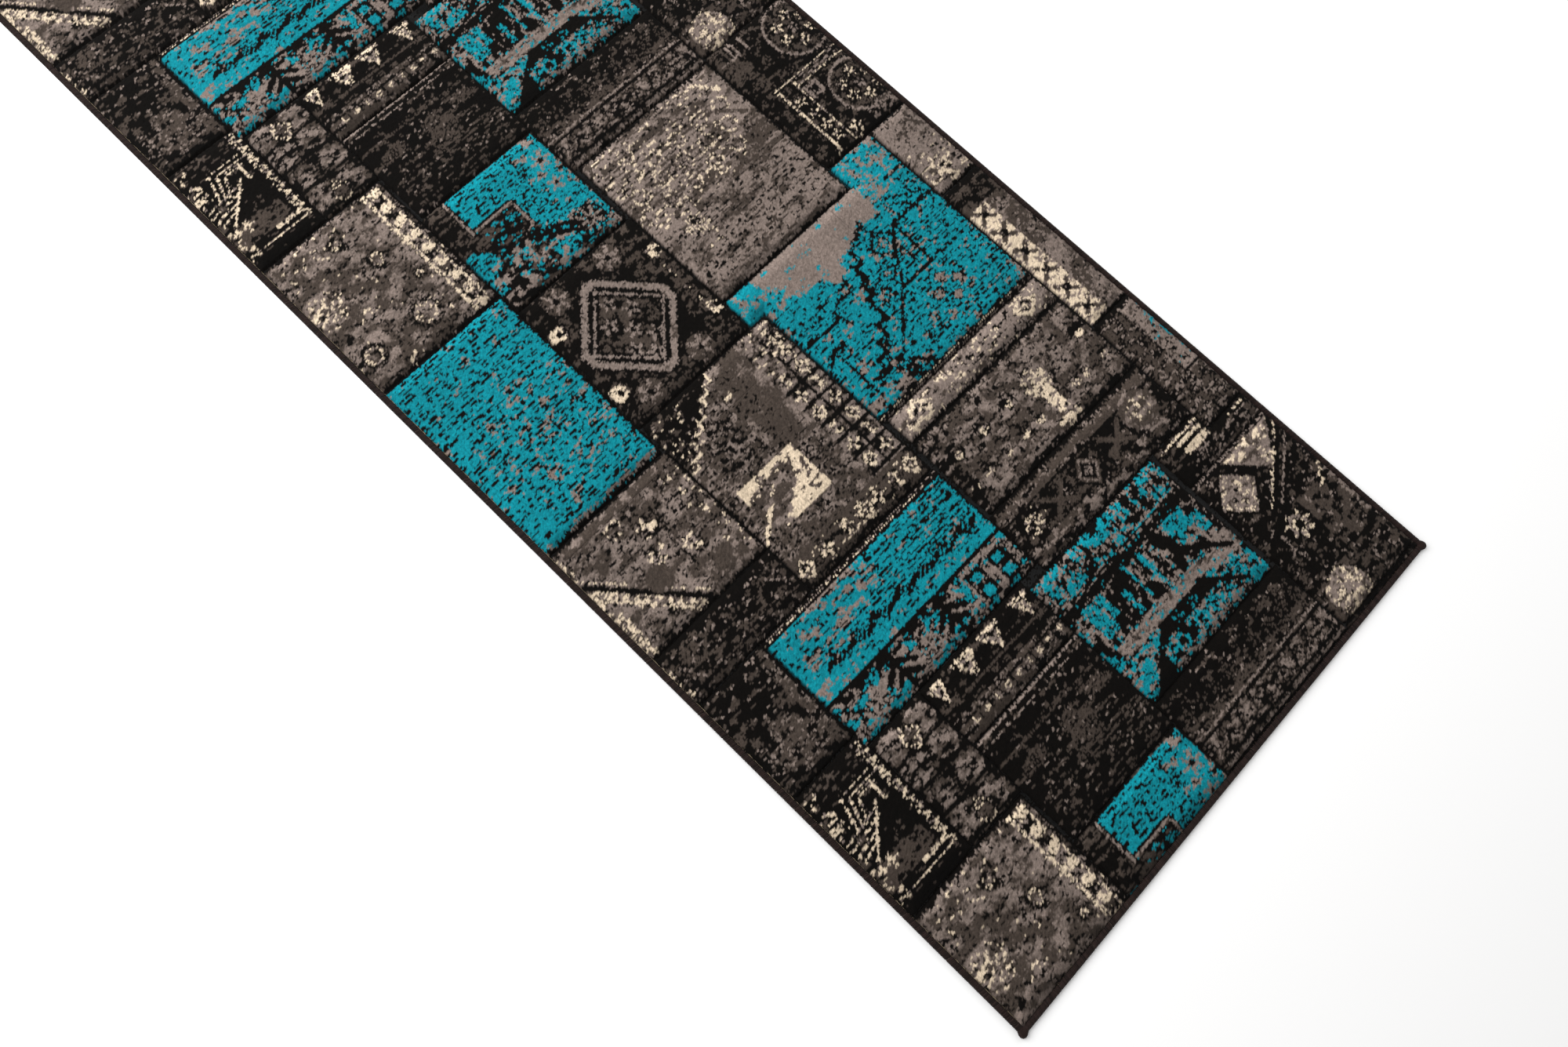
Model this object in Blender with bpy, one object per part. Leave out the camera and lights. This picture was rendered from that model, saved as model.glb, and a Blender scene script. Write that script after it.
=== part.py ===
"""Runner rug: a woven pile field on a ground weave, with a serged edge all round.

Frame: X across the rug, Y along it, Z up. The origin is on the floor, under the rug's middle.
The near end is at -Y. Every size is in metres, except the design's own grid of centimetres.
"""

import math

import bmesh
import bpy

# Overall sizes, from edge to edge of the serging.
WIDTH = 0.800
LENGTH = 3.000

# Layers, from the floor up.
SIZING_THICKNESS = 0.0010
WEAVE_THICKNESS = 0.0018
PILE_HEIGHT = 0.0076

# Serged edge: yarn wrapped round a filler cord and the edge of the ground weave.
CORD_RADIUS = 0.0023
CORD_CLEARANCE = 0.0005
YARN_THICKNESS = 0.0010
SERGING_WIDTH = 0.0090
ARC_STEPS = 14
CORD_SIDES = 16

# Locked corners, where the last turns of an end's yarn are fastened down.
CORNER_PROUD = 0.0028
CORNER_ROUNDING = 0.0030
CORNER_SEGMENTS = 3

# Clearance between neighbouring solids.
GAP = 0.0003

# Carved design: furrows between the patches, where one row of tufts is missing.
FURROW_WIDTH = 0.0026
FURROW_DEPTH = 0.0050
DESIGN_WIDTH_CM = 80.0
REPEAT = 1.125
REPEAT_CM = 112.5

# Patches of one repeat: left, right, near and far side, in design centimetres
# from the left edge and from the start of the repeat. A patch that isn't a rectangle
# is a list of overlapping ones.
PATCHES = {
    "floral_grey": [(0.0, 20.0, -5.6, 17.6)],
    "teal_silhouette": [(20.0, 39.3, -8.9, 9.5)],
    "zigzag_brown": [(39.3, 64.0, 1.0, 12.6)],
    "diamond_black": [(64.0, 80.0, 1.5, 26.5)],
    "arrow_black": [(0.0, 11.5, 17.6, 36.3)],
    "leaf_mauve": [(11.5, 20.3, 17.6, 34.3)],
    "cloud_black": [(20.3, 39.3, 9.5, 25.3)],
    "tooth_strip": [(20.3, 39.3, 25.3, 34.3)],
    "teal_temple": [(39.3, 63.5, 12.6, 32.9)],
    "white_bar": [(64.0, 72.2, 26.5, 32.9), (71.0, 80.0, 26.5, 30.0)],
    "smoke_brown": [(0.0, 11.2, 36.3, 51.8)],
    "teal_stripes": [(11.2, 42.6, 34.3, 51.8)],
    "brown_band": [(42.6, 72.2, 32.9, 42.5)],
    "brown_mauve": [(72.2, 80.0, 30.0, 49.8)],
    "dark_floral": [(0.0, 20.3, 51.8, 59.4)],
    "key_mauve": [(20.3, 42.4, 51.8, 81.4)],
    "dotted_grey": [(43.0, 72.2, 42.5, 55.8)],
    "diamond_strip": [(43.0, 72.2, 55.8, 60.3)],
    "cream_cross": [(72.2, 80.0, 49.8, 76.8)],
    "chevron_grey": [(0.0, 20.3, 59.4, 77.3)],
    "teal_field": [(0.0, 20.0, 77.3, 106.9)],
    "medallion": [(20.0, 39.8, 81.4, 103.6)],
    "teal_steps": [
        (42.4, 72.2, 60.3, 86.3),
        (39.8, 72.2, 81.4, 86.3),
        (64.0, 72.2, 81.4, 90.3),
    ],
    "mesh_grey": [(72.2, 80.0, 76.8, 90.3)],
    "cloud_grey": [(39.8, 64.0, 86.3, 113.5)],
    "rosette_black": [(64.0, 80.0, 90.3, 114.0)],
}

# Heights and half sizes that follow from the driving sizes. The weave lies on the sizing
# and on the wrap's lower yarn, and the wrap's lip comes down to it from above.
SERGING_HEIGHT = 2 * (CORD_RADIUS + CORD_CLEARANCE + YARN_THICKNESS)
WEAVE_BOTTOM = max(SIZING_THICKNESS, YARN_THICKNESS) + GAP
WEAVE_TOP = WEAVE_BOTTOM + WEAVE_THICKNESS
PILE_BOTTOM = WEAVE_TOP + GAP
PILE_TOP = PILE_BOTTOM + PILE_HEIGHT
LIP_HEIGHT = WEAVE_TOP + 2 * GAP
HALF_WIDTH = WIDTH / 2
HALF_LENGTH = LENGTH / 2
FIELD_INSET = SERGING_WIDTH + GAP
CORD_INSET = YARN_THICKNESS + CORD_CLEARANCE + CORD_RADIUS
WEAVE_INSET = CORD_INSET + CORD_RADIUS + GAP

COLOURS = {
    "pile_yarn": (0.070, 0.060, 0.060),
    "ground_weave": (0.420, 0.330, 0.220),
    "latex_sizing": (0.310, 0.250, 0.180),
    "serging_yarn": (0.022, 0.014, 0.013),
    "filler_cord": (0.250, 0.210, 0.170),
}
ROUGHNESS = {
    "pile_yarn": 0.85,
    "ground_weave": 0.90,
    "latex_sizing": 0.60,
    "serging_yarn": 0.70,
    "filler_cord": 0.85,
}


def clear_scene():
    for old in list(bpy.data.objects):
        bpy.data.objects.remove(old)


def material(name):
    made = bpy.data.materials.get(name)
    if made is None:
        made = bpy.data.materials.new(name)
        made.use_nodes = True
        shader = made.node_tree.nodes["Principled BSDF"]
        shader.inputs["Base Color"].default_value = (*COLOURS[name], 1)
        shader.inputs["Roughness"].default_value = ROUGHNESS[name]
        shader.inputs["Metallic"].default_value = 0.0
    return made


def add_object(name, shape, finish, smooth=False):
    """Turns a bmesh into a named object with its material."""
    bmesh.ops.recalc_face_normals(shape, faces=shape.faces)
    mesh = bpy.data.meshes.new(name)
    shape.to_mesh(mesh)
    shape.free()
    mesh.materials.append(material(finish))
    if smooth:
        mesh.shade_smooth()
        mesh.set_sharp_from_angle(angle=math.radians(40))
    made = bpy.data.objects.new(name, mesh)
    bpy.context.scene.collection.objects.link(made)
    return made


def extrude_outline(outline, shift):
    """A closed prism: the outline's points as one face, extruded by shift."""
    shape = bmesh.new()
    face = shape.faces.new([shape.verts.new(point) for point in outline])
    swept = bmesh.ops.extrude_face_region(shape, geom=[face])
    moved = [v for v in swept["geom"] if isinstance(v, bmesh.types.BMVert)]
    bmesh.ops.translate(shape, verts=moved, vec=shift)
    return shape


def slab_outline(inset, height, corner=0.0):
    """The rug's rectangle, set in from the edge, with a square cut from each corner."""
    x, y = HALF_WIDTH - inset, HALF_LENGTH - inset
    if corner <= 0:
        return [(-x, -y, height), (x, -y, height), (x, y, height), (-x, y, height)]
    points = []
    for sx, sy in ((-1, -1), (1, -1), (1, 1), (-1, 1)):
        notch = [
            (sx * x, sy * (y - corner), height),
            (sx * (x - corner), sy * (y - corner), height),
            (sx * (x - corner), sy * y, height),
        ]
        points += notch if sx * sy > 0 else notch[::-1]
    return points


def make_sizing():
    outline = slab_outline(FIELD_INSET, 0.0)
    add_object("back_sizing", extrude_outline(outline, (0, 0, SIZING_THICKNESS)), "latex_sizing")


def make_ground_weave():
    corner = FIELD_INSET - WEAVE_INSET
    outline = slab_outline(WEAVE_INSET, WEAVE_BOTTOM, corner)
    add_object("ground_weave", extrude_outline(outline, (0, 0, WEAVE_THICKNESS)), "ground_weave")


def raised_rectangles():
    """Every patch along the rug, less half a furrow on each side, cut to the field."""
    across, along = WIDTH / DESIGN_WIDTH_CM, REPEAT / REPEAT_CM
    x_limit, y_limit = HALF_WIDTH - FIELD_INSET, HALF_LENGTH - FIELD_INSET
    half = FURROW_WIDTH / 2
    first, last = -1, math.ceil(LENGTH / REPEAT) + 1
    for turn in range(first, last):
        start = turn * REPEAT - HALF_LENGTH
        for rectangles in PATCHES.values():
            for left, right, near, far in rectangles:
                x0 = max(left * across - HALF_WIDTH + half, -x_limit)
                x1 = min(right * across - HALF_WIDTH - half, x_limit)
                y0 = max(near * along + start + half, -y_limit)
                y1 = min(far * along + start - half, y_limit)
                if x1 > x0 and y1 > y0:
                    yield x0, x1, y0, y1


def make_pile():
    """The pile as one block, extruded up wherever a patch stands between the furrows."""
    rectangles = list(raised_rectangles())
    x_limit, y_limit = HALF_WIDTH - FIELD_INSET, HALF_LENGTH - FIELD_INSET
    xs = sorted({-x_limit, x_limit, *(round(x, 6) for r in rectangles for x in r[:2])})
    ys = sorted({-y_limit, y_limit, *(round(y, 6) for r in rectangles for y in r[2:])})
    base = PILE_TOP - FURROW_DEPTH
    shape = bmesh.new()
    corners = {(i, j): shape.verts.new((x, y, base)) for i, x in enumerate(xs) for j, y in enumerate(ys)}
    raised = []
    for i in range(len(xs) - 1):
        for j in range(len(ys) - 1):
            around = ((i, j), (i + 1, j), (i + 1, j + 1), (i, j + 1))
            face = shape.faces.new([corners[c] for c in around])
            x, y = (xs[i] + xs[i + 1]) / 2, (ys[j] + ys[j + 1]) / 2
            if any(x0 < x < x1 and y0 < y < y1 for x0, x1, y0, y1 in rectangles):
                raised.append(face)
    top = bmesh.ops.extrude_face_region(shape, geom=raised)
    lifted = [v for v in top["geom"] if isinstance(v, bmesh.types.BMVert)]
    bmesh.ops.translate(shape, verts=lifted, vec=(0, 0, FURROW_DEPTH))
    bmesh.ops.delete(shape, geom=raised, context="FACES_ONLY")
    rim = [edge for edge in shape.edges if edge.is_boundary]
    skirt = bmesh.ops.extrude_edge_only(shape, edges=rim)
    for v in skirt["geom"]:
        if isinstance(v, bmesh.types.BMVert):
            v.co.z = PILE_BOTTOM
    floor_edges = [edge for edge in shape.edges if edge.is_boundary]
    bmesh.ops.contextual_create(shape, geom=floor_edges)
    flat = math.radians(1)
    bmesh.ops.dissolve_limit(shape, angle_limit=flat, verts=shape.verts, edges=shape.edges)
    add_object("pile", shape, "pile_yarn")


def serging_profile():
    """The wrap's section: distance in from the rug's edge, and height. It is open inwards."""
    a, b = SERGING_WIDTH / 2, SERGING_HEIGHT / 2
    lip = math.asin((LIP_HEIGHT - b) / b)
    step = (3 * math.pi / 2 - lip) / ARC_STEPS
    sweep = [-math.pi / 2 - k * step for k in range(ARC_STEPS + 1)]
    outer = [(a + a * math.cos(t), b + b * math.sin(t)) for t in sweep]
    inner_a, inner_b = a - YARN_THICKNESS, b - YARN_THICKNESS
    inner = [(a + inner_a * math.cos(t), b + inner_b * math.sin(t)) for t in reversed(sweep)]
    return [(SERGING_WIDTH, 0.0), *outer, *inner, (SERGING_WIDTH, YARN_THICKNESS)]


def make_serging():
    """Two sides and two ends, each between its locked corners."""
    side, end = HALF_LENGTH - FIELD_INSET, HALF_WIDTH - FIELD_INSET
    profile = serging_profile()
    for name, sign in (("left", -1), ("right", 1)):
        outline = [(sign * (HALF_WIDTH - inset), -side, z) for inset, z in profile]
        shape = extrude_outline(outline, (0, 2 * side, 0))
        add_object(f"side_serging_{name}", shape, "serging_yarn", smooth=True)
    for name, sign in (("near", -1), ("far", 1)):
        outline = [(-end, sign * (HALF_LENGTH - inset), z) for inset, z in profile]
        shape = extrude_outline(outline, (2 * end, 0, 0))
        add_object(f"end_serging_{name}", shape, "serging_yarn", smooth=True)


def cord(name, start, shift):
    """A straight round cord, from its start along shift."""
    outline = []
    for k in range(CORD_SIDES):
        turn = 2 * math.pi * k / CORD_SIDES
        flat, up = CORD_RADIUS * math.cos(turn), CORD_RADIUS * math.sin(turn)
        offset = (flat, 0) if shift[1] else (0, flat)
        outline.append((start[0] + offset[0], start[1] + offset[1], start[2] + up))
    add_object(name, extrude_outline(outline, shift), "filler_cord", smooth=True)


def make_cords():
    """The filler cord inside each run of serging."""
    height = SERGING_HEIGHT / 2
    side, end = HALF_LENGTH - FIELD_INSET, HALF_WIDTH - FIELD_INSET
    for name, sign in (("left", -1), ("right", 1)):
        start = (sign * (HALF_WIDTH - CORD_INSET), -side, height)
        cord(f"filler_cord_{name}", start, (0, 2 * side, 0))
    for name, sign in (("near", -1), ("far", 1)):
        start = (-end, sign * (HALF_LENGTH - CORD_INSET), height)
        cord(f"filler_cord_{name}", start, (2 * end, 0, 0))


def make_corner_locks():
    """A rounded knot of yarn on each corner, a little proud of both edges."""
    reach = SERGING_WIDTH + CORNER_PROUD
    places = {
        "near_left": (-1, -1),
        "near_right": (1, -1),
        "far_left": (-1, 1),
        "far_right": (1, 1),
    }
    for name, (sx, sy) in places.items():
        x = sx * (HALF_WIDTH - SERGING_WIDTH)
        y = sy * (HALF_LENGTH - SERGING_WIDTH)
        base = [(x, y, 0), (x + sx * reach, y, 0), (x + sx * reach, y + sy * reach, 0), (x, y + sy * reach, 0)]
        shape = extrude_outline(base, (0, 0, SERGING_HEIGHT))
        rounded = [e for e in shape.edges if any(v.co.z > SERGING_HEIGHT / 2 for v in e.verts)]
        bmesh.ops.bevel(
            shape,
            geom=rounded,
            offset=CORNER_ROUNDING,
            offset_type="OFFSET",
            segments=CORNER_SEGMENTS,
            profile=0.5,
            affect="EDGES",
        )
        add_object(f"corner_lock_{name}", shape, "serging_yarn", smooth=True)


clear_scene()
make_sizing()
make_ground_weave()
make_pile()
make_cords()
make_serging()
make_corner_locks()
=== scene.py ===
"""Runner rug: tufted pile in five yarns, ground weave, sized back, and corded, serged edges.

Run as a script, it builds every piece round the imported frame. The same pieces can be made one by
one from the Rug panel in the 3D view's sidebar.
"""

import math

import bpy
import numpy as np
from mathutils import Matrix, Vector


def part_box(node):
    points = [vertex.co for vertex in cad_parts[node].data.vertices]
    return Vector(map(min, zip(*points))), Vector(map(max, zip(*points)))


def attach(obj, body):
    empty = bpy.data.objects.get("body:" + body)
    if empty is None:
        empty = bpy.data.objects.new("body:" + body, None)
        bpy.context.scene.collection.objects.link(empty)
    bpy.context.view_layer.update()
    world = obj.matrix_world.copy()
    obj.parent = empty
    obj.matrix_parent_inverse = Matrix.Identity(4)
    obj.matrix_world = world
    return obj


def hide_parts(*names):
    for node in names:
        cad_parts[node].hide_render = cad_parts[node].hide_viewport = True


bl_info = {
    "name": "Runner Rug",
    "version": (1, 0, 0),
    "blender": (4, 5, 0),
    "location": "View3D > Sidebar > Rug",
    "description": "Builds a patchwork runner rug with a cut pile and serged edges",
    "category": "Add Mesh",
}

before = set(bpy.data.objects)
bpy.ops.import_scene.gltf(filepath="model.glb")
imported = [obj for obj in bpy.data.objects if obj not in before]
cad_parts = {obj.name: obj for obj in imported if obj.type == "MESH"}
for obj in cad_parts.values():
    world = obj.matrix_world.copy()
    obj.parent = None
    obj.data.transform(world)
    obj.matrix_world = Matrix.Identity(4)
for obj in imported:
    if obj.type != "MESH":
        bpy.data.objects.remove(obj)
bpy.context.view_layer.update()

BODY = "root"
PILE_LOW, PILE_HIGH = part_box("pile")
WEAVE_LOW, WEAVE_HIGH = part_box("ground_weave")
BACK_LOW, BACK_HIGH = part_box("back_sizing")
SIDE_LOW, SIDE_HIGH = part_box("side_serging_left")
WIDTH = -2 * SIDE_LOW.x
LENGTH = -2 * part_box("end_serging_near")[0].y

# The design's own grid: one repeat, in centimetres and in tufts.
DESIGN_WIDTH_CM = 80.0
REPEAT_CM = 112.5
TUFTS_ACROSS = 400
ROWS_PER_REPEAT = 625
TUFT_ACROSS_CM = DESIGN_WIDTH_CM / TUFTS_ACROSS
TUFT_ALONG_CM = REPEAT_CM / ROWS_PER_REPEAT
CM_PER_METRE = 100

# The yarns' numbers. Mist stands for tufts of taupe and mauve mixed, where the two meet.
BLACK, TAUPE, MIST, MAUVE, TEAL, CREAM = range(6)

# Lie of the pile, in metres: its level under the frame's top, its fall and its lean at the rim,
# where a furrow stops short of the rim, how far a tuft strays sideways, and the slow waves of the
# whole cloth.
PILE_MARGIN = 0.0012
RIM_FALL, RIM_WIDTH = 0.0016, 0.004
RIM_LEAN, LEAN_WIDTH = 0.0003, 0.005
FURROW_STOP = 0.001
TUFT_SCATTER = 0.00045
WAVE_HEIGHT, WAVE_SPACING = 0.00022, 0.018
PILE_BLOCKS = 4
LIE_SEED, DYE_SEED = 7, 11

# Unevenness of the dye, from tuft to tuft and in slow clouds; and painted light and shade by how the pile
# slopes: lighter on slopes that face the far end and the key light, darker on slopes that face the near
# end.
TUFT_SHADE = 0.19
CLOUD_SHADE, CLOUD_SPACING = 0.06, 0.045
PAINTED_SLOPE_SHADE, PAINTED_SLOPE_LIGHTEST, PAINTED_SLOPE_DARKEST = 2.0, -0.26, 0.45

# Cells of the ground cloth and of the back, the back's ribs, and how far the pattern shows there.
CLOTH_CELL = 0.020
CLOTH_CLEARANCE = 0.0002
BACK_CELL = 0.006
RIB_HEIGHT = 0.00018
GHOST = 0.38

# Turns of edge yarn: half the yarn's thickness, how wide a turn is for its spacing, how far the
# turns stray, shrink and differ in shade, and the pieces that each run is made in.
EDGE_YARN = 0.0006
TURN_OVERLAP = 1.12
TURN_SCATTER, TURN_STRAY = 0.00016, 0.0004
TURN_SHRINK = 0.035
TURN_SHADE = 0.28
SIDE_PARTS, END_PARTS = 5, 1

# Corner locks: turns that fan round the corner, their width, how far they bulge at its middle,
# and the rounded core under them.
LOCK_TURNS = 13
LOCK_TURN_WIDTH = 0.0023
LOCK_BULGE = 0.52
CORE_SHARE = 1.02
CORE_MARGIN = 0.0016
CORE_ROUNDING = 0.0028

CORD_COLOUR = (0.25, 0.21, 0.17)

# Cloth finishes: fibres to a metre, their contrast and relief, roughness, sheen, and the painted
# attribute that holds the colour, if there is one.
FINISHES = {
    "cut_pile": (1100.0, 0.35, 0.55, 0.92, 0.015, "yarn"),
    "jute_weave": (700.0, 0.40, 0.60, 0.90, 0.10, None),
    "latex_coat": (420.0, 0.35, 0.80, 0.65, 0.0, "back"),
    "edge_yarn": (1800.0, 0.40, 0.50, 0.80, 0.05, "yarn"),
    "cotton_cord": (900.0, 0.40, 0.60, 0.90, 0.10, None),
}

# Stage: the lights' places, aims and size, and the camera's place and turn in degrees.
FLOOR_SIZE, FLOOR_GAP = 16, 0.0004
KEY_PLACE, KEY_AIM = (-1.0, 0.9, 2.2), (0, -0.2, 0)
FILL_PLACE, FILL_AIM = (2.4, -0.8, 2.4), (0.6, -0.8, 0)
SOFTBOX_SIZE = 2.6
SKY_COLOUR = (1.0, 0.995, 0.985, 1)
CAMERA_PLACE = (-0.5005, -1.0963, 1.3867)
CAMERA_TURN = (15.45, -3.85, -46.13)
SENSOR_WIDTH = 36
NEAR_CLIP = 0.01

# Patches of one repeat: left, right, near and far side, in centimetres. A patch that isn't a
# rectangle is a list of overlapping ones.
PATCHES = {
    "floral_grey": [(0.0, 20.0, -5.6, 17.6)],
    "teal_silhouette": [(20.0, 39.3, -8.9, 9.5)],
    "zigzag_brown": [(39.3, 64.0, 1.0, 12.6)],
    "diamond_black": [(64.0, 80.0, 1.5, 26.5)],
    "arrow_black": [(0.0, 11.5, 17.6, 36.3)],
    "leaf_mauve": [(11.5, 20.3, 17.6, 34.3)],
    "cloud_black": [(20.3, 39.3, 9.5, 25.3)],
    "tooth_strip": [(20.3, 39.3, 25.3, 34.3)],
    "teal_temple": [(39.3, 63.5, 12.6, 32.9)],
    "white_bar": [(64.0, 72.2, 26.5, 32.9), (71.0, 80.0, 26.5, 30.0)],
    "smoke_brown": [(0.0, 11.2, 36.3, 51.8)],
    "teal_stripes": [(11.2, 42.6, 34.3, 51.8)],
    "brown_band": [(42.6, 72.2, 32.9, 42.5)],
    "brown_mauve": [(72.2, 80.0, 30.0, 49.8)],
    "dark_floral": [(0.0, 20.3, 51.8, 59.4)],
    "key_mauve": [(20.3, 42.4, 51.8, 81.4)],
    "dotted_grey": [(43.0, 72.2, 42.5, 55.8)],
    "diamond_strip": [(43.0, 72.2, 55.8, 60.3)],
    "cream_cross": [(72.2, 80.0, 49.8, 76.8)],
    "chevron_grey": [(0.0, 20.3, 59.4, 77.3)],
    "teal_field": [(0.0, 20.0, 77.3, 106.9)],
    "medallion": [(20.0, 39.8, 81.4, 103.6)],
    "teal_steps": [(42.4, 72.2, 60.3, 86.3), (39.8, 72.2, 81.4, 86.3), (64.0, 72.2, 81.4, 90.3)],
    "mesh_grey": [(72.2, 80.0, 76.8, 90.3)],
    "cloud_grey": [(39.8, 64.0, 86.3, 113.5)],
    "rosette_black": [(64.0, 80.0, 90.3, 114.0)],
}


def smooth(t):
    """Eases a number from 0 to 1 with flat ends."""
    t = np.clip(t, 0.0, 1.0)
    return t * t * (3 - 2 * t)


def join_knots(knots, u, v):
    """A grid of random knots joined smoothly, read on the lines u and v, counted in knots."""
    i, j = u.astype(int), v.astype(int)
    fu, fv = smooth(u - i)[None, :], smooth(v - j)[:, None]
    low = knots[np.ix_(j, i)] * (1 - fu) + knots[np.ix_(j, i + 1)] * fu
    high = knots[np.ix_(j + 1, i)] * (1 - fu) + knots[np.ix_(j + 1, i + 1)] * fu
    return low * (1 - fv) + high * fv


class Patch:
    """The tufts of one patch: each one's place in the design, in centimetres, and its yarn."""

    def __init__(self, rectangles, seed):
        left, right, near, far = zip(*rectangles)
        self.left, self.right, self.near, self.far = min(left), max(right), min(near), max(far)
        self.columns = np.arange(round(self.left / TUFT_ACROSS_CM), round(self.right / TUFT_ACROSS_CM))
        self.rows = np.arange(round(self.near / TUFT_ALONG_CM), round(self.far / TUFT_ALONG_CM))
        across, along = (self.columns + 0.5) * TUFT_ACROSS_CM, (self.rows + 0.5) * TUFT_ALONG_CM
        self.x, self.y = np.meshgrid(across, along)
        self.yarn = np.full(self.x.shape, BLACK)
        self.random = np.random.default_rng(seed)
        self.inside = np.zeros(self.x.shape, bool)
        for rectangle in rectangles:
            self.inside |= self.box(*rectangle)

    def box(self, left, right, near, far):
        """The tufts inside a rectangle."""
        return (self.x > left) & (self.x < right) & (self.y > near) & (self.y < far)

    def layer(self, across, along):
        """Random knots at the given spacing, joined smoothly."""
        u, v = (self.x[0] - self.left) / across, (self.y[:, 0] - self.near) / along
        return join_knots(self.random.random((int(v[-1]) + 3, int(u[-1]) + 3)), u, v)

    def cloud(self, across, along, grain=0.3):
        """Lumpy noise spread evenly from 0 to 1, with a little of each tuft's own."""
        total = self.layer(across, along) + 0.55 * self.layer(across / 2.3, along / 2.3)
        total += 0.35 * self.layer(max(across / 5, 0.4), max(along / 5, 0.36))
        total += grain * self.random.random(self.x.shape)
        order = np.empty(total.size)
        order[total.ravel().argsort()] = np.arange(total.size) / total.size
        return order.reshape(total.shape)

    def paint(self, where, yarn, cover=1.0):
        """Gives the chosen tufts a yarn, or only a share of them, picked at random."""
        if cover < 1.0:
            where = where & (self.random.random(self.x.shape) < cover)
        self.yarn[where] = yarn

    def band(self, figure, low, high, yarn, cover=1.0):
        """Paints where a figure's distance lies between two values."""
        self.paint((figure > low) & (figure < high), yarn, cover)

    def mottle(self, shares, size, where=True):
        """Clouds of the given yarns, each over its share of the tufts, blended where greys meet."""
        level, noise, last = 0.0, self.cloud(*size), None
        for yarn, share in shares.items():
            chosen = (noise >= level) & (noise < level + share) & where
            self.yarn[chosen] = yarn
            if {yarn, last} == {TAUPE, MAUVE}:
                self.yarn[(abs(noise - level) < 0.36 * min(share, shares[last])) & where] = MIST
            level, last = level + share, yarn

    def flecks(self, yarn, share, size=(0.55, 0.3), where=True):
        """Ragged flecks of the given size, over a share of the tufts."""
        self.paint((self.cloud(*size, grain=0.15) < share) & where, yarn)

    def specks(self, yarn, share, where=True):
        """Scattered tufts, some with one or two more beside them."""
        chosen = self.random.random(self.x.shape) < share / 1.9
        chosen |= np.roll(chosen, 1, axis=1) & (self.random.random(self.x.shape) < 0.7)
        chosen |= np.roll(chosen, 1, axis=0) & (self.random.random(self.x.shape) < 0.3)
        self.paint(chosen & where, yarn)

    def dashes(self, yarn, spacing=0.7, run=2.5, gap=2.5, where=True, cover=1.0):
        """Rows of short dashes across the rug, in tufts, at the given spacing in centimetres."""
        where = np.broadcast_to(where, self.x.shape)
        step = spacing / TUFT_ALONG_CM
        row = self.random.random() * step
        while row < len(self.rows):
            k, column = int(row), 0
            while column < len(self.columns):
                column += 1 + self.random.poisson(gap)
                end = column + 1 + self.random.poisson(run)
                rows = slice(k, k + 1 + (self.random.random() < 0.5))
                wanted = where[rows, column:end] & (self.random.random() < cover)
                self.yarn[rows, column:end][wanted] = yarn
                column = end
            row += step * (0.7 + 0.6 * self.random.random())

    def away(self, points):
        """Each tuft's distance from a run of straight lines."""
        best = np.full(self.x.shape, np.inf)
        for (ax, ay), (bx, by) in zip(points, points[1:]):
            dx, dy = bx - ax, by - ay
            t = np.clip(((self.x - ax) * dx + (self.y - ay) * dy) / (dx * dx + dy * dy), 0, 1)
            best = np.minimum(best, np.hypot(self.x - ax - t * dx, self.y - ay - t * dy))
        return best

    def line(self, points, yarn, width=0.4, cover=1.0):
        """A run of straight lines."""
        self.paint(self.away(points) < width / 2, yarn, cover)

    def stairs(self, start, end, steps, yarn, width=0.4, cover=1.0):
        """A diagonal drawn as even steps."""
        (ax, ay), (bx, by) = start, end
        points = [start]
        for k in range(1, steps + 1):
            points.append((ax + (bx - ax) * k / steps, points[-1][1]))
            points.append((points[-1][0], ay + (by - ay) * k / steps))
        self.line(points, yarn, width, cover)

    def diamond(self, x, y, across, along):
        """0 at the middle of a diamond and 1 on its edge."""
        return abs(self.x - x) / across + abs(self.y - y) / along

    def disc(self, x, y, radius):
        """0 at the middle of a circle and 1 on its edge."""
        return np.hypot(self.x - x, self.y - y) / radius

    def oval(self, x, y, across, along):
        """0 at the middle of an oval and 1 on its edge."""
        return np.hypot((self.x - x) / across, (self.y - y) / along)

    def ring(self, x, y, radius, width, yarn, cover=1.0):
        """A circle drawn with a line of the given width."""
        self.paint(abs(self.disc(x, y, radius) - 1) * radius < width / 2, yarn, cover)

    def rosette(self, x, y, radius, petal, ground=None, petals=6, cover=0.85):
        """A small flower: petals round an eye."""
        turn = np.arctan2(self.y - y, self.x - x)
        reach = self.disc(x, y, radius)
        if ground is not None:
            self.paint(reach < 1.15, ground, cover)
        self.paint(reach < 0.62 + 0.38 * np.cos(petals * turn), petal, cover)
        self.paint(reach < 0.25, BLACK if petal != BLACK else MAUVE)

    def hem(self, near=0.45, far=0.25, side=0.25):
        """Black teeth round the patch, where it meets its neighbours."""
        teeth = 0.35 + 1.1 * self.random.random(self.x.shape[1])[None, :]
        notches = 0.35 + 1.1 * self.random.random(self.x.shape[0])[:, None]
        self.paint(self.y - self.near < near * teeth, BLACK)
        self.paint(self.far - self.y < far * teeth, BLACK)
        if self.left > 1:
            self.paint(self.x - self.left < side * notches, BLACK)
        if self.right < DESIGN_WIDTH_CM - 1:
            self.paint(self.right - self.x < side * notches, BLACK)

    def stitches(self, y, inwards):
        """Two rows of pale dots on a black band, along the border at y."""
        self.paint((self.y - y) * inwards < 0.95, BLACK)
        column = np.arange(len(self.columns))[None, :]
        for k, depth in enumerate((0.3, 0.66)):
            row = abs(self.y - y - depth * inwards) < 0.5 * TUFT_ALONG_CM
            self.paint(row & ((column + k) % 2 == 0), CREAM if k else MAUVE, 0.8)

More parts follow.
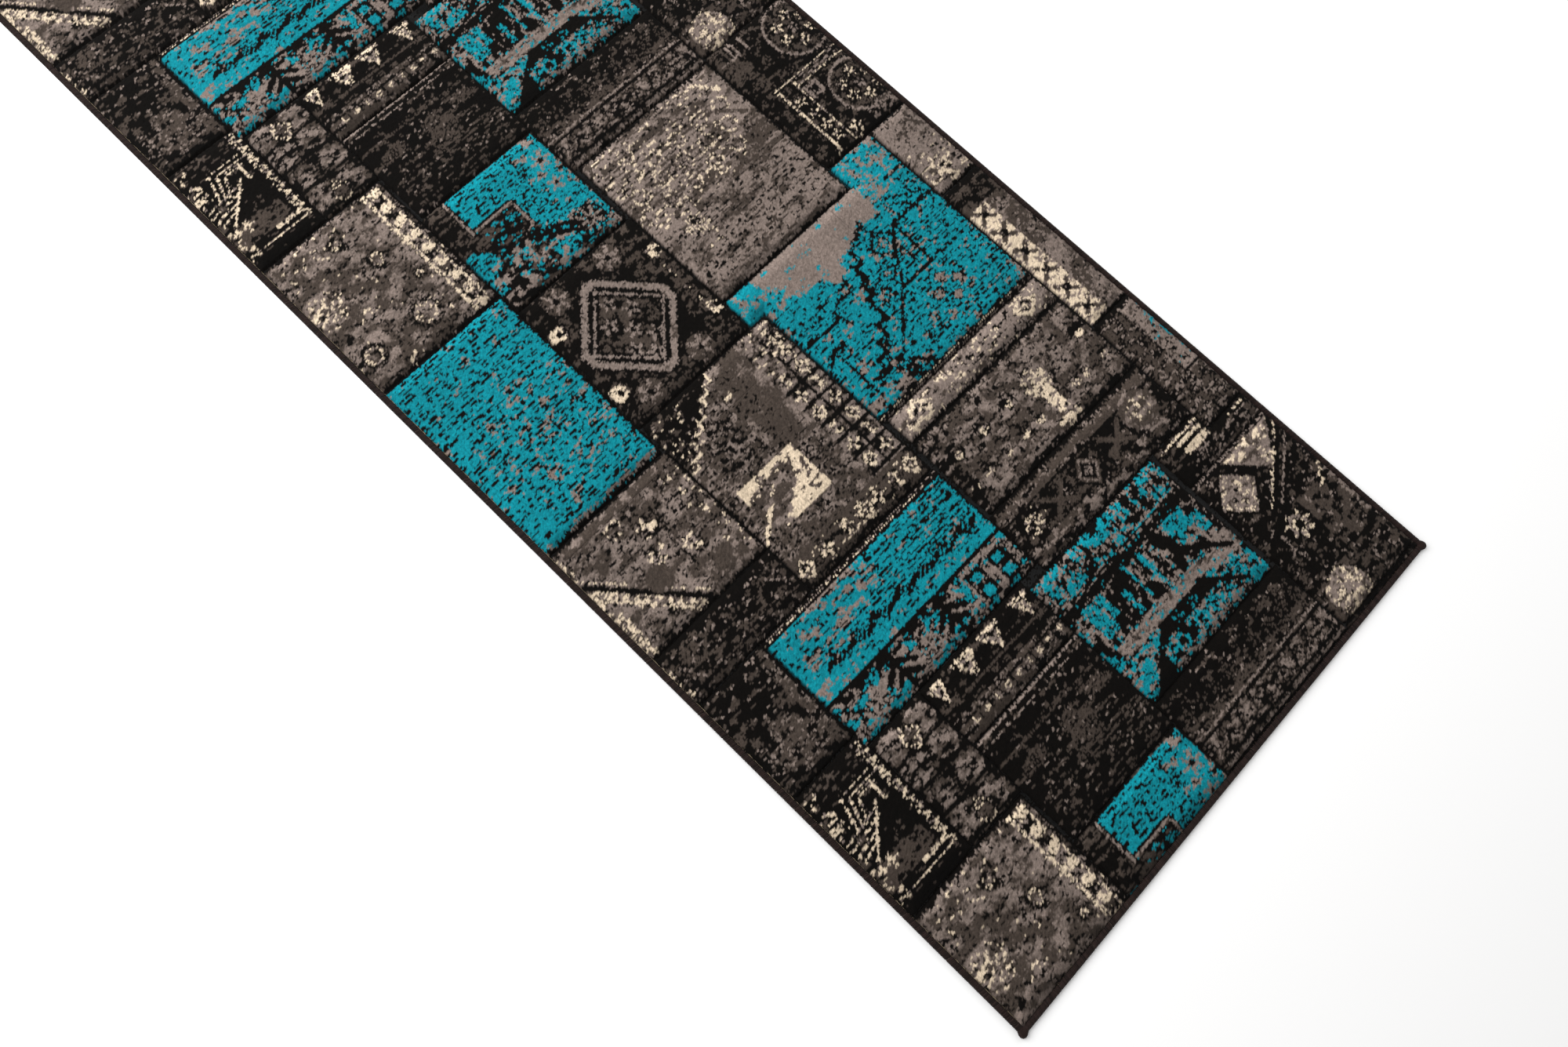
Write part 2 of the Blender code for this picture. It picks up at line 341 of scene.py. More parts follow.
    def wear(self, share=0.22):
        """Swaps some tufts for a neighbour's yarn, which breaks every straight edge.

        Some cream tufts with few others beside them are dimmed first, as their neighbours half
        hide them.
        """
        rows, columns = self.yarn.shape
        cream = np.pad(self.yarn == CREAM, 1).astype(int)
        beside = sum(cream[i:i + rows, j:j + columns] for i in range(3) for j in range(3))
        self.paint((self.yarn == CREAM) & (beside < 6), MAUVE, 0.30)
        j, i = np.meshgrid(np.arange(columns), np.arange(rows))
        moved = self.random.random(self.yarn.shape) < share
        sideways = np.where(moved, self.random.integers(-1, 2, self.yarn.shape), 0)
        moved = self.random.random(self.yarn.shape) < share / 2
        onwards = np.where(moved, self.random.integers(-1, 2, self.yarn.shape), 0)
        self.yarn = self.yarn[np.clip(i + onwards, 0, rows - 1), np.clip(j + sideways, 0, columns - 1)]


# ---------------------------------------------------------------- patch designs

# Each function draws one patch, bottom layer first, in centimetres of the repeat. key_figure and
# florets draw figures that a patch repeats.


def floral_grey(p):
    p.mottle({TAUPE: 0.60, MAUVE: 0.40}, (1.8, 1.1))
    p.flecks(BLACK, 0.10, (0.6, 0.45))
    p.specks(BLACK, 0.07)
    p.specks(CREAM, 0.012)
    p.flecks(CREAM, 0.30, (0.5, 0.4), where=p.disc(3.2, 7.6, 2.7) < 1)
    p.flecks(CREAM, 0.07, where=p.box(5, 10, 3, 7) | p.box(5, 9, 13, 17))
    p.flecks(CREAM, 0.25, (0.5, 0.4), where=p.disc(7.5, -5.0, 1.3) < 1)
    for x, y, radius in (
        (12.5, 8.9, 1.1), (10.0, 14.0, 0.8), (15.0, 3.8, 0.5), (3.5, -1.0, 1.5), (12.0, -1.0, 1.9),
    ):
        p.ring(x, y, radius, 0.7, BLACK, 0.7)
        p.ring(x, y, radius * 0.7, 0.4, CREAM, 0.5)
    strip = p.box(16.5, 19.6, p.near, p.far)
    p.flecks(BLACK, 0.35, (0.6, 0.5), where=strip)
    p.paint(p.box(16.6, 17.3, p.near, p.far), CREAM, 0.72)
    p.paint(p.box(18.9, 19.3, p.near, p.far), CREAM, 0.6)
    for k in range(9):
        p.paint(p.disc(18.1, -4.6 + 2.6 * k, 0.75) < 1, CREAM, 0.8)
        p.paint(p.disc(17.8, -3.4 + 2.6 * k, 0.4) < 1, BLACK, 0.8)
    p.hem(near=0.6, far=0.5)


def teal_silhouette(p):
    p.mottle({BLACK: 0.8, TAUPE: 0.2}, (1.2, 0.5))
    field = p.box(23.8, 39.0, 3.4, 9.2) | p.box(30.0, 39.0, -1.5, 3.6)
    field |= p.box(30.5, 39.0, -8.9, -1.0) & (p.y > 30.5 - p.x - 1.5)
    field |= p.disc(31.5, -6.0, 2.0) < 1
    field |= p.disc(21.6, -1.5, 2.0) < 1
    field |= p.box(20.4, 21.8, -6, 1)
    p.paint(field, TEAL)
    p.dashes(BLACK, 0.6, 1.8, 1.9, where=field & (p.x < 35), cover=0.8)
    p.specks(BLACK, 0.10, where=field)
    p.flecks(MAUVE, 0.22, (1.6, 0.9), where=field & (p.x > 34))
    p.flecks(MAUVE, 0.30, (1.2, 0.8), where=(p.x > 20.5) & (p.y < -2) & (p.x < 33))
    p.flecks(BLACK, 0.16, where=field & (p.x > 33.5))
    edge = [(23.6, 9.2), (23.6, 3.2), (30.2, 3.2), (30.2, -1.0), (28.6, -1.6), (34.2, -4.6)]
    p.line(edge, BLACK, 1.0)
    p.line(edge, MAUVE, 0.3, 0.8)
    p.line([(29.0, -2.3), (34.0, -5.0)], BLACK, 1.8)
    p.rosette(36.0, -5.6, 2.0, MAUVE, BLACK, 8)
    p.rosette(37.2, 5.2, 1.6, MAUVE, TEAL, 6)
    p.rosette(36.5, 1.4, 1.3, MAUVE, TEAL, 5)
    p.dashes(TAUPE, 0.7, 2.0, 4.0, where=~field & (p.y > -2), cover=0.5)
    p.flecks(TEAL, 0.12, (0.6, 0.35), where=~field & p.box(24, 39, -8.9, 3.2))
    p.hem(near=0.4, far=0.15)


def zigzag_brown(p):
    p.mottle({TAUPE: 0.46, BLACK: 0.54}, (1.1, 0.6))
    p.mottle({MAUVE: 0.28, TAUPE: 0.42, BLACK: 0.30}, (0.9, 0.5), where=p.box(39.3, 64, 2.5, 5.5))
    p.mottle({MAUVE: 0.35, BLACK: 0.38, TAUPE: 0.27}, (0.5, 0.4), where=p.y < 2.4)
    p.specks(MAUVE, 0.05)
    p.specks(BLACK, 0.08)
    p.flecks(BLACK, 0.45, (1.3, 0.7), where=p.y > 8)
    for k in range(9):
        x = 40.5 + 2.7 * k
        p.rosette(x + 0.6, 8.9, 1.2, TAUPE, BLACK, 5, 0.6)
        tent = p.diamond(x, 2.6, 1.3, 2.4)
        p.paint((tent < 1) & (tent > 0.72) & (p.y > 2.6), BLACK, 0.75)
    p.line([(39.3, 5.6), (64, 5.6)], BLACK, 0.45)
    p.line([(39.3, 6.1), (64, 6.1)], MAUVE, 0.25, 0.6)
    p.line([(39.3, 2.1), (64, 2.1)], BLACK, 0.4)
    p.dashes(MAUVE, 0.5, 1.0, 1.0, where=p.y < 1.7, cover=0.8)
    p.hem(near=0.2, far=0.7)


def diamond_black(p):
    p.mottle({BLACK: 0.80, TAUPE: 0.20}, (1.1, 0.7))
    p.flecks(TAUPE, 0.55, (0.9, 0.8), where=p.box(72.5, 76.5, 8, 16) | p.box(76, 80, 10, 15))
    p.flecks(TAUPE, 0.3, (0.9, 0.6), where=p.box(64, 80, 1, 7))
    p.specks(MAUVE, 0.04)
    triangle = (abs(p.x - 74.2) < 5.2 - (26.0 - p.y) * 0.93) & (p.y < 26.0)
    p.mottle({MAUVE: 0.6, TAUPE: 0.4}, (1.0, 0.7), where=triangle)
    p.flecks(CREAM, 0.22, (0.7, 0.5), where=triangle & (p.y > 23.5))
    p.rosette(74.8, 22.3, 1.0, CREAM, MAUVE, 5)
    p.line([(69.0, 26.0), (74.2, 20.4), (79.4, 26.0)], BLACK, 0.5, 0.9)
    field = p.diamond(68.0, 21.8, 3.3, 3.4)
    p.paint(field < 1.18, BLACK)
    p.mottle({MAUVE: 0.7, TAUPE: 0.3}, (0.8, 0.6), where=field < 1)
    p.band(field, 0.78, 1, CREAM, 0.4)
    p.flecks(CREAM, 0.18, where=field < 0.8)
    p.flecks(BLACK, 0.3, (0.5, 0.4), where=field < 0.55)
    p.line([(64.2, 26.3), (80, 26.3)], MAUVE, 0.3, 0.5)
    p.line([(69.0, 16.8), (79.6, 24.4)], BLACK, 1.0)
    p.line([(69.6, 17.6), (79.6, 24.9)], CREAM, 0.3, 0.65)
    p.line([(71.0, 17.0), (79.6, 23.0)], MAUVE, 0.3, 0.65)
    p.line([(68.2, 25.3), (72.0, 22.0)], BLACK, 0.5)
    p.rosette(70.3, 13.7, 2.1, CREAM, BLACK, 7, 0.8)
    p.ring(70.3, 13.7, 1.2, 0.4, MAUVE, 0.7)
    p.line([(67.4, 14.5), (67.2, 11.8), (67.9, 10.6)], MAUVE, 0.3, 0.8)
    p.rosette(68.2, 3.9, 2.6, CREAM, TAUPE, 7, 0.75)
    p.flecks(MAUVE, 0.5, (0.6, 0.5), where=p.disc(68.2, 3.9, 3.0) < 1)
    p.flecks(CREAM, 0.2, where=p.disc(68.2, 3.9, 3.2) < 1)
    p.stairs((76.3, 15.0), (79.6, 18.0), 3, CREAM, 0.35, 0.7)
    p.flecks(MAUVE, 0.3, where=p.box(78.4, 80, 8, 16))
    p.hem(near=0.2, far=0.1)


def arrow_black(p):
    p.mottle({BLACK: 0.93, TAUPE: 0.07}, (1.5, 0.6))
    p.mottle({TAUPE: 0.72, BLACK: 0.28}, (1.8, 0.8), where=p.box(1.2, 9.2, 21.2, 24.3))
    p.dashes(BLACK, 0.6, 2.0, 2.0, where=p.box(1.2, 9.2, 21.2, 24.3), cover=0.5)
    p.line([(1.5, 19.9), (10.2, 19.9)], CREAM, 0.3, 0.75)
    p.line([(6.6, 21.0), (9.8, 21.0)], CREAM, 0.5, 0.7)
    p.flecks(CREAM, 0.35, (0.5, 0.3), where=p.box(1.2, 2.8, 19.5, 24.5) | p.box(3.6, 5.2, 22.6, 24.2))
    p.line([(1.8, 23.6), (7.6, 29.6)], CREAM, 0.3, 0.8)
    p.line([(3.4, 23.6), (4.2, 24.6)], CREAM, 0.3)
    for k in range(4):
        p.line([(1.4, 25.7 + 0.9 * k), (4.6 + 0.7 * k, 26.3 + 0.9 * k)], CREAM, 0.28, 0.7)
    for k in range(3):
        inset = 0.75 * k
        p.line([(3.6 + inset, 28.6), (4.9 + inset, 32.7 - inset), (9.4, 32.7 - inset)], CREAM, 0.28, 0.8)
    p.line([(8.6, 29.0), (8.6, 31.6), (6.6, 31.6)], CREAM, 0.3, 0.8)
    p.flecks(CREAM, 0.22, where=p.box(0.8, 3.2, 29.0, 36.0))
    p.dashes(TAUPE, 0.6, 2.5, 2.0, where=p.box(1.5, 9.8, 33.4, 36.0), cover=0.5)
    for k in range(13):
        y = 20.0 + 1.25 * k
        p.line([(10.2, y), (11.2, y + 0.4), (10.2, y + 0.8)], CREAM, 0.3, 0.75)
    p.line([(10.9, 19.8), (10.9, 36.2)], CREAM, 0.25, 0.4)
    p.hem(near=0.9, far=0.6, side=0.2)
    p.paint(p.y < 19.2, BLACK, 0.9)


def leaf_mauve(p):
    p.mottle({BLACK: 0.6, TAUPE: 0.4}, (1.0, 0.5))
    for low, high in ((18.6, 22.2), (22.8, 26.0), (26.6, 30.2), (30.4, 34.0)):
        middle, half = (low + high) / 2, (high - low) / 2
        for side in (-1, 1):
            x = 15.9 + 2.4 * side
            leaf = p.oval(x, middle, 2.1, half)
            p.mottle({MAUVE: 0.50, TAUPE: 0.50}, (1.2, 0.6), where=leaf < 1)
        p.flecks(BLACK, 0.32, (0.7, 0.35), where=(p.y > low) & (p.y < high))
        p.line([(11.5, low - 0.3), (20.3, low - 0.3)], BLACK, 0.35)
    for y in (19.5, 31.6):
        lozenge = p.diamond(15.8, y, 1.7, 2.0)
        p.paint(lozenge < 1.15, BLACK, 0.6)
        p.paint(lozenge < 1, CREAM, 0.6)
        p.paint(p.diamond(15.8, y, 1.1, 1.3) < 1, TAUPE, 0.85)
        p.specks(BLACK, 0.25, where=lozenge < 1)
    p.hem(near=0.5, far=0.3)


def cloud_black(p):
    p.mottle({BLACK: 0.91, TAUPE: 0.09}, (1.6, 0.5))
    p.specks(TAUPE, 0.02)
    p.specks(MAUVE, 0.02)
    for x, y, across, along in (
        (31.5, 17.6, 3.4, 2.9), (24.3, 19.2, 2.2, 1.6), (36.5, 19.6, 2.2, 1.2), (29.0, 15.4, 1.6, 1.0),
    ):
        blot = p.oval(x, y, across, along) + 0.5 * p.cloud(1.2, 0.7)
        p.paint(blot < 1.05, TAUPE, 0.65)
    p.dashes(TAUPE, 0.7, 2.5, 2.0, where=p.box(22, 39, 10, 15.4), cover=0.6)
    for y in (14.5, 21.4):
        p.line([(20.8, y), (39.3, y)], TAUPE, 0.28, 0.6)
    p.line([(20.8, 24.0), (39.3, 24.0)], MAUVE, 0.25, 0.55)
    p.line([(20.8, 25.0), (39.3, 25.0)], MAUVE, 0.3, 0.6)
    p.dashes(MAUVE, 1.6, 0.5, 9.0, cover=0.5)
    p.hem(near=0.4, far=0.0)


def tooth_strip(p):
    p.mottle({BLACK: 0.84, TAUPE: 0.16}, (1.2, 0.5))
    strip = p.box(20.6, 39.3, 25.5, 28.8)
    p.mottle({TAUPE: 0.58, MAUVE: 0.12, BLACK: 0.30}, (1.6, 0.7), where=strip)
    p.line([(20.6, 28.9), (39.3, 28.9)], BLACK, 0.3)
    p.line([(20.6, 30.2), (39.3, 30.2)], TAUPE, 0.35, 0.8)
    p.line([(21.6, 27.9), (39.3, 27.9)], BLACK, 0.3, 0.8)
    for k in range(9):
        x = 22.9 + 1.95 * k
        p.paint(p.oval(x, 27.2, 0.5, 0.4) < 1, CREAM, 0.65)
        p.paint(p.box(x + 0.6, x + 1.0, 26.4, 27.8), BLACK, 0.8)
    fall = (33.6 - p.y) / 3.1
    for x, half in ((22.2, 1.2), (27.1, 1.9), (31.8, 1.9), (37.5, 1.5)):
        tooth = (abs(p.x - x) < half * (1 - fall)) & (fall > 0)
        heart = (abs(p.x - x) < half * (1 - fall) - 0.45) & (fall > 0.13)
        p.paint(tooth, CREAM, 0.75)
        p.paint(heart, MAUVE, 0.7)
        p.flecks(BLACK, 0.3, (0.5, 0.4), where=heart)
        p.specks(BLACK, 0.14, where=tooth)
    p.hem(near=0.3, far=0.4)


def teal_temple(p):
    p.mottle({MAUVE: 0.35, BLACK: 0.35, TEAL: 0.30}, (1.5, 1.0))
    corners = (p.y - 12.6 < 5.5) & ((p.x < 46.5 - (17.5 - p.y) * 0.8) | (p.x > 55.0 + (18.5 - p.y) * 0.7))
    p.mottle({TEAL: 0.68, MAUVE: 0.22, BLACK: 0.10}, (1.6, 0.8), where=corners)
    roof = (p.y < 18.6) & (p.x > 40.6 + (p.y - 13.0) * 1.25) & (p.x < 60.5 - (p.y - 13.0) * 0.95)
    p.paint(roof, BLACK)
    den = (p.y < 16.6) & (p.x > 44.5) & (p.x < 58.5)
    p.mottle({BLACK: 0.4, TEAL: 0.3, MAUVE: 0.3}, (0.9, 0.6), where=den)
    for x in (48.0, 52.0, 54.8):
        p.ring(x, 15.0, 0.9, 0.45, TEAL, 0.85)
    for x in (50.0, 52.8):
        p.rosette(x, 17.3, 0.9, TEAL, BLACK, 5, 0.7)
    p.flecks(MAUVE, 0.5, (0.7, 0.4), where=p.box(45, 60, 12.8, 14.2))
    band = p.box(41.2, 57.5, 18.6, 20.4) | (p.disc(61.0, 21.2, 2.6) < 1)
    band |= p.box(56, 63.2, 17.8, 20.0) & (p.x > 56 + (20 - p.y))
    p.mottle({MAUVE: 0.85, TAUPE: 0.15}, (1.2, 0.6), where=band)
    p.line([(55.3, 18.6), (60.2, 14.2)], BLACK, 0.7)
    bars = p.box(39.8, 63.2, 20.6, 26.4)
    p.mottle({BLACK: 0.62, MAUVE: 0.38}, (0.9, 1.4), where=bars)
    for x, half, low, high, yarn in (
        (41.2, 0.4, 21.2, 23.6, MAUVE), (42.8, 1.1, 21.8, 26.4, TEAL), (44.6, 0.6, 23.0, 26.2, TEAL),
        (47.4, 0.35, 20.8, 24.5, TEAL), (49.8, 0.3, 21.5, 26.4, TEAL), (52.4, 0.35, 20.6, 26.4, TEAL),
        (54.6, 0.3, 20.6, 24.8, MAUVE), (58.0, 0.9, 22.8, 26.4, TEAL), (59.6, 1.4, 23.6, 26.4, TEAL),
        (61.6, 0.8, 21.8, 24.6, TEAL),
    ):
        p.paint(p.box(x - half, x + half, low, high), yarn, 0.82)
    for x in (46.2, 48.7, 51.0, 53.5, 55.8):
        p.line([(x, 20.8), (x, 26.2)], BLACK, 0.45, 0.85)
    p.line([(56.0, 23.5), (62.0, 18.5)], BLACK, 0.8)
    p.paint(p.box(39.3, 63.5, 26.5, 28.3), BLACK, 0.92)
    p.dashes(MAUVE, 0.9, 3.0, 1.5, where=p.box(40, 63, 27.2, 28.6), cover=0.9)
    arch = p.box(39.8, 63.2, 28.4, 32.7)
    p.mottle({TEAL: 0.36, MAUVE: 0.34, BLACK: 0.30}, (0.9, 1.2), where=arch)
    for k in range(13):
        p.line([(40.6 + 1.8 * k, 28.8), (40.9 + 1.8 * k, 31.0 + (k % 3) * 0.7)], BLACK, 0.4, 0.75)
    p.paint((p.disc(51.0, 33.4, 3.2) < 1) & (p.y > 30), TEAL, 0.9)
    p.paint(p.disc(51.0, 33.6, 1.6) < 1, BLACK)
    p.flecks(BLACK, 0.13, (0.5, 0.6), where=~band)
    p.flecks(MAUVE, 0.08, (0.5, 0.6), where=p.yarn == TEAL)
    p.flecks(TEAL, 0.08, (0.5, 0.6), where=p.yarn == MAUVE)
    p.specks(BLACK, 0.05)
    p.hem(near=0.5, far=0.3)


def white_bar(p):
    p.mottle({BLACK: 0.80, TAUPE: 0.20}, (1.2, 0.5))
    p.line([(65.0, 32.2), (72.2, 32.2)], CREAM, 0.3, 0.7)
    for y in (30.2, 31.4):
        p.paint(p.box(67.4, 71.9, y - 0.35, y + 0.35), CREAM, 0.8)
    p.paint(p.box(68.6, 70.4, 28.0, 30.0), MAUVE, 0.4)
    p.dashes(CREAM, 0.6, 1.0, 1.0, where=p.box(75.5, 80, 29, 30.2), cover=0.7)
    p.paint(p.box(67.5, 72.0, 29.6, 30.4), CREAM, 0.6)
    p.flecks(MAUVE, 0.2, where=p.box(66, 80, 26.5, 29))
    p.hem(near=0.2, far=0.3)


def smoke_brown(p):
    p.mottle({BLACK: 0.84, TAUPE: 0.16}, (1.3, 0.8))
    cross = p.box(2.5, 9.5, 38.5, 42.0) | p.box(4.5, 8.5, 37.4, 44.5)
    p.mottle({TAUPE: 0.58, MAUVE: 0.10, BLACK: 0.32}, (1.0, 0.6), where=cross)
    p.mottle({TAUPE: 0.70, MAUVE: 0.14, BLACK: 0.16}, (0.8, 1.2), where=p.box(9.3, 10.8, 37, 50))
    p.specks(BLACK, 0.06)
    p.specks(MAUVE, 0.03)
    p.dashes(TAUPE, 0.8, 2.0, 3.0, cover=0.3)
    p.hem(near=0.7, far=0.3)


def teal_stripes(p):
    upper = p.y > 40.9
    p.mottle({TEAL: 0.95, MAUVE: 0.05}, (1.4, 0.8), where=upper)
    p.flecks(MAUVE, 0.24, (1.4, 0.7), where=p.box(13, 27.5, 45.8, 51.2))
    p.specks(BLACK, 0.04)
    p.paint(p.box(18, 27, 50.4, 51.3), MAUVE, 0.7)
    p.flecks(MAUVE, 0.22, (1.4, 0.6), where=p.box(11.5, 20, 41.2, 45.5))
    p.dashes(BLACK, 0.6, 2.6, 3.0, where=upper & (p.y > 45.3), cover=0.7)
    p.dashes(BLACK, 0.55, 3.4, 2.4, where=p.box(27.5, 42, 46.8, 51.3), cover=0.8)
    p.dashes(BLACK, 0.62, 2.6, 1.3, where=p.box(13.5, 41.8, 44.4, 46.4), cover=0.9)
    for k in range(45):
        x = 14.6 + 0.6 * k
        p.line([(x, 43.5 + 0.25 * math.sin(k)), (x + 0.9, 44.3 + 0.25 * math.sin(k))], BLACK, 0.42, 0.92)
    p.dashes(BLACK, 0.6, 1.5, 1.8, where=p.box(18, 41.8, 41.6, 43.0), cover=0.8)
    lower = p.box(11.4, 42.4, 34.6, 40.5)
    p.mottle({MAUVE: 0.50, BLACK: 0.30, TEAL: 0.20}, (0.9, 0.7), where=lower)
    p.mottle({TEAL: 0.48, MAUVE: 0.36, BLACK: 0.16}, (0.9, 0.6), where=p.box(12, 33, 34.6, 36.4))
    p.flecks(BLACK, 0.16, (0.5, 0.45), where=lower)
    p.flecks(BLACK, 0.75, (1.0, 0.6), where=p.box(13, 34, 39.4, 40.6))
    for x in (21.0, 30.2):
        p.line([(x, 40.6), (x, 35.4)], BLACK, 0.7)
        p.line([(x - 2.2, 37.4), (x, 39.0), (x + 2.2, 37.4)], BLACK, 0.8)
        p.line([(x - 1.5, 36.2), (x, 37.6), (x + 1.5, 36.2)], BLACK, 0.7)
        p.line([(x - 3.4, 38.6), (x - 2.4, 39.6)], TEAL, 0.5)
        p.line([(x + 3.4, 38.6), (x + 2.4, 39.6)], TEAL, 0.5)
    for x in (16.5, 25.8):
        p.rosette(x, 36.9, 1.3, BLACK, MAUVE, 5, 0.8)
    for x in (35.9, 39.8):
        p.paint(p.box(x - 1.3, x + 1.3, 35.2, 39.6), BLACK, 0.9)
        p.paint(p.box(x - 0.7, x + 0.7, 37.9, 39.0) | p.box(x - 0.7, x + 0.7, 35.8, 37.0), TEAL, 0.9)
        p.line([(x - 1.6, 35.0), (x - 1.6, 39.9), (x + 1.6, 39.9)], MAUVE, 0.3, 0.8)
    p.line([(11.2, 40.75), (42.6, 40.75)], BLACK, 0.55)
    p.hem(near=0.4, far=0.1)
    p.stitches(p.far, -1)


def brown_band(p):
    p.mottle({TAUPE: 0.56, BLACK: 0.44}, (1.3, 0.6))
    p.specks(BLACK, 0.06)
    p.specks(MAUVE, 0.04)
    p.flecks(MAUVE, 0.2, (1.2, 0.6), where=p.y < 35.8)
    p.flecks(BLACK, 0.45, (1.0, 0.6), where=p.box(42.6, 72.2, 36.0, 40.2))
    p.mottle({TAUPE: 0.70, MAUVE: 0.14, BLACK: 0.16}, (1.4, 0.7), where=p.y > 40.4)
    p.line([(42.6, 40.2), (72.2, 40.2)], BLACK, 0.35, 0.85)
    p.line([(42.6, 35.8), (72.2, 35.8)], BLACK, 0.35, 0.85)
    p.rosette(45.9, 38.0, 1.4, CREAM, BLACK, 4, 0.55)
    p.flecks(CREAM, 0.14, (0.5, 0.4), where=p.disc(46.4, 38.2, 2.2) < 1)
    figure = p.diamond(56.5, 37.6, 2.1, 2.3)
    p.paint(figure < 1.25, BLACK, 0.85)
    p.band(figure, 0.62, 1, TAUPE)
    p.band(figure, 0.68, 0.85, MAUVE, 0.7)
    p.paint(figure < 0.35, MAUVE, 0.7)
    for x in (51.0, 62.4):
        p.line([(x - 1.8, 39.2), (x + 1.8, 36.2)], TAUPE, 0.7)
        p.line([(x - 1.8, 36.2), (x + 1.8, 39.2)], TAUPE, 0.7)
    p.mottle({TAUPE: 0.7, MAUVE: 0.3}, (1.0, 0.6), where=p.disc(67.6, 38.2, 2.8) < 1)
    p.flecks(CREAM, 0.22, (0.5, 0.35), where=p.disc(67.6, 38.4, 1.8) < 1)
    p.hem(near=0.5, far=0.6)


def brown_mauve(p):
    p.mottle({TAUPE: 0.50, BLACK: 0.34, MAUVE: 0.16}, (1.0, 0.6))
    p.specks(BLACK, 0.06)
    p.specks(MAUVE, 0.04)
    bright = p.box(76.5, 80, 37.4, 49.6)
    p.mottle({MAUVE: 0.85, TAUPE: 0.15}, (1.2, 1.2), where=bright)
    p.flecks(BLACK, 0.14, where=bright)
    p.flecks(TEAL, 0.22, (0.5, 0.9), where=bright & (p.x > 78.9))
    p.flecks(TEAL, 0.03, where=bright)
    p.line([(76.3, 37.2), (76.3, 49.7)], BLACK, 0.3, 0.8)
    p.line([(76.3, 37.2), (80, 37.2)], BLACK, 0.4)
    p.rosette(78.2, 41.5, 0.8, BLACK, MAUVE, 4, 0.8)
    p.hem(near=0.6, far=0.7)


def dark_floral(p):
    p.mottle({BLACK: 0.70, TAUPE: 0.30}, (0.9, 0.5))
    p.specks(MAUVE, 0.06)
    p.specks(BLACK, 0.10)
    figure = p.diamond(5.5, 57.3, 2.1, 2.2)
    p.band(figure, 0.75, 1.1, TAUPE, 0.8)
    p.paint(figure < 0.4, TAUPE, 0.8)
    p.line([(1.0, 53.4), (20.0, 53.4)], BLACK, 0.4, 0.8)
    p.dashes(TAUPE, 0.6, 2.0, 2.0, where=p.y < 55, cover=0.6)
    p.flecks(CREAM, 0.10, (0.5, 0.3), where=p.x < 1.8)
    p.hem(near=0.3, far=0.7)


def key_figure(p, x, y, across, along, kind):
    """A small figure in a cell: a lozenge, a flower or a bow."""
    middle_x, middle_y = x + across / 2, y + along / 2
    lozenge = p.diamond(middle_x, middle_y, 0.62 * across, 0.62 * along)
    p.paint(lozenge < 1.2, BLACK, 0.5)
    if kind == 0:
        p.band(lozenge, 0.6, 1.1, CREAM, 0.75)
        p.paint(lozenge < 0.25, CREAM)
    elif kind == 1:
        p.rosette(middle_x, middle_y, 0.62 * across, CREAM, None, 4, 0.85)
    else:
        bow = abs(p.x - middle_x) / across < abs(p.y - middle_y) / along
        p.paint(bow & p.box(x, x + across, y, y + along), CREAM, 0.62)


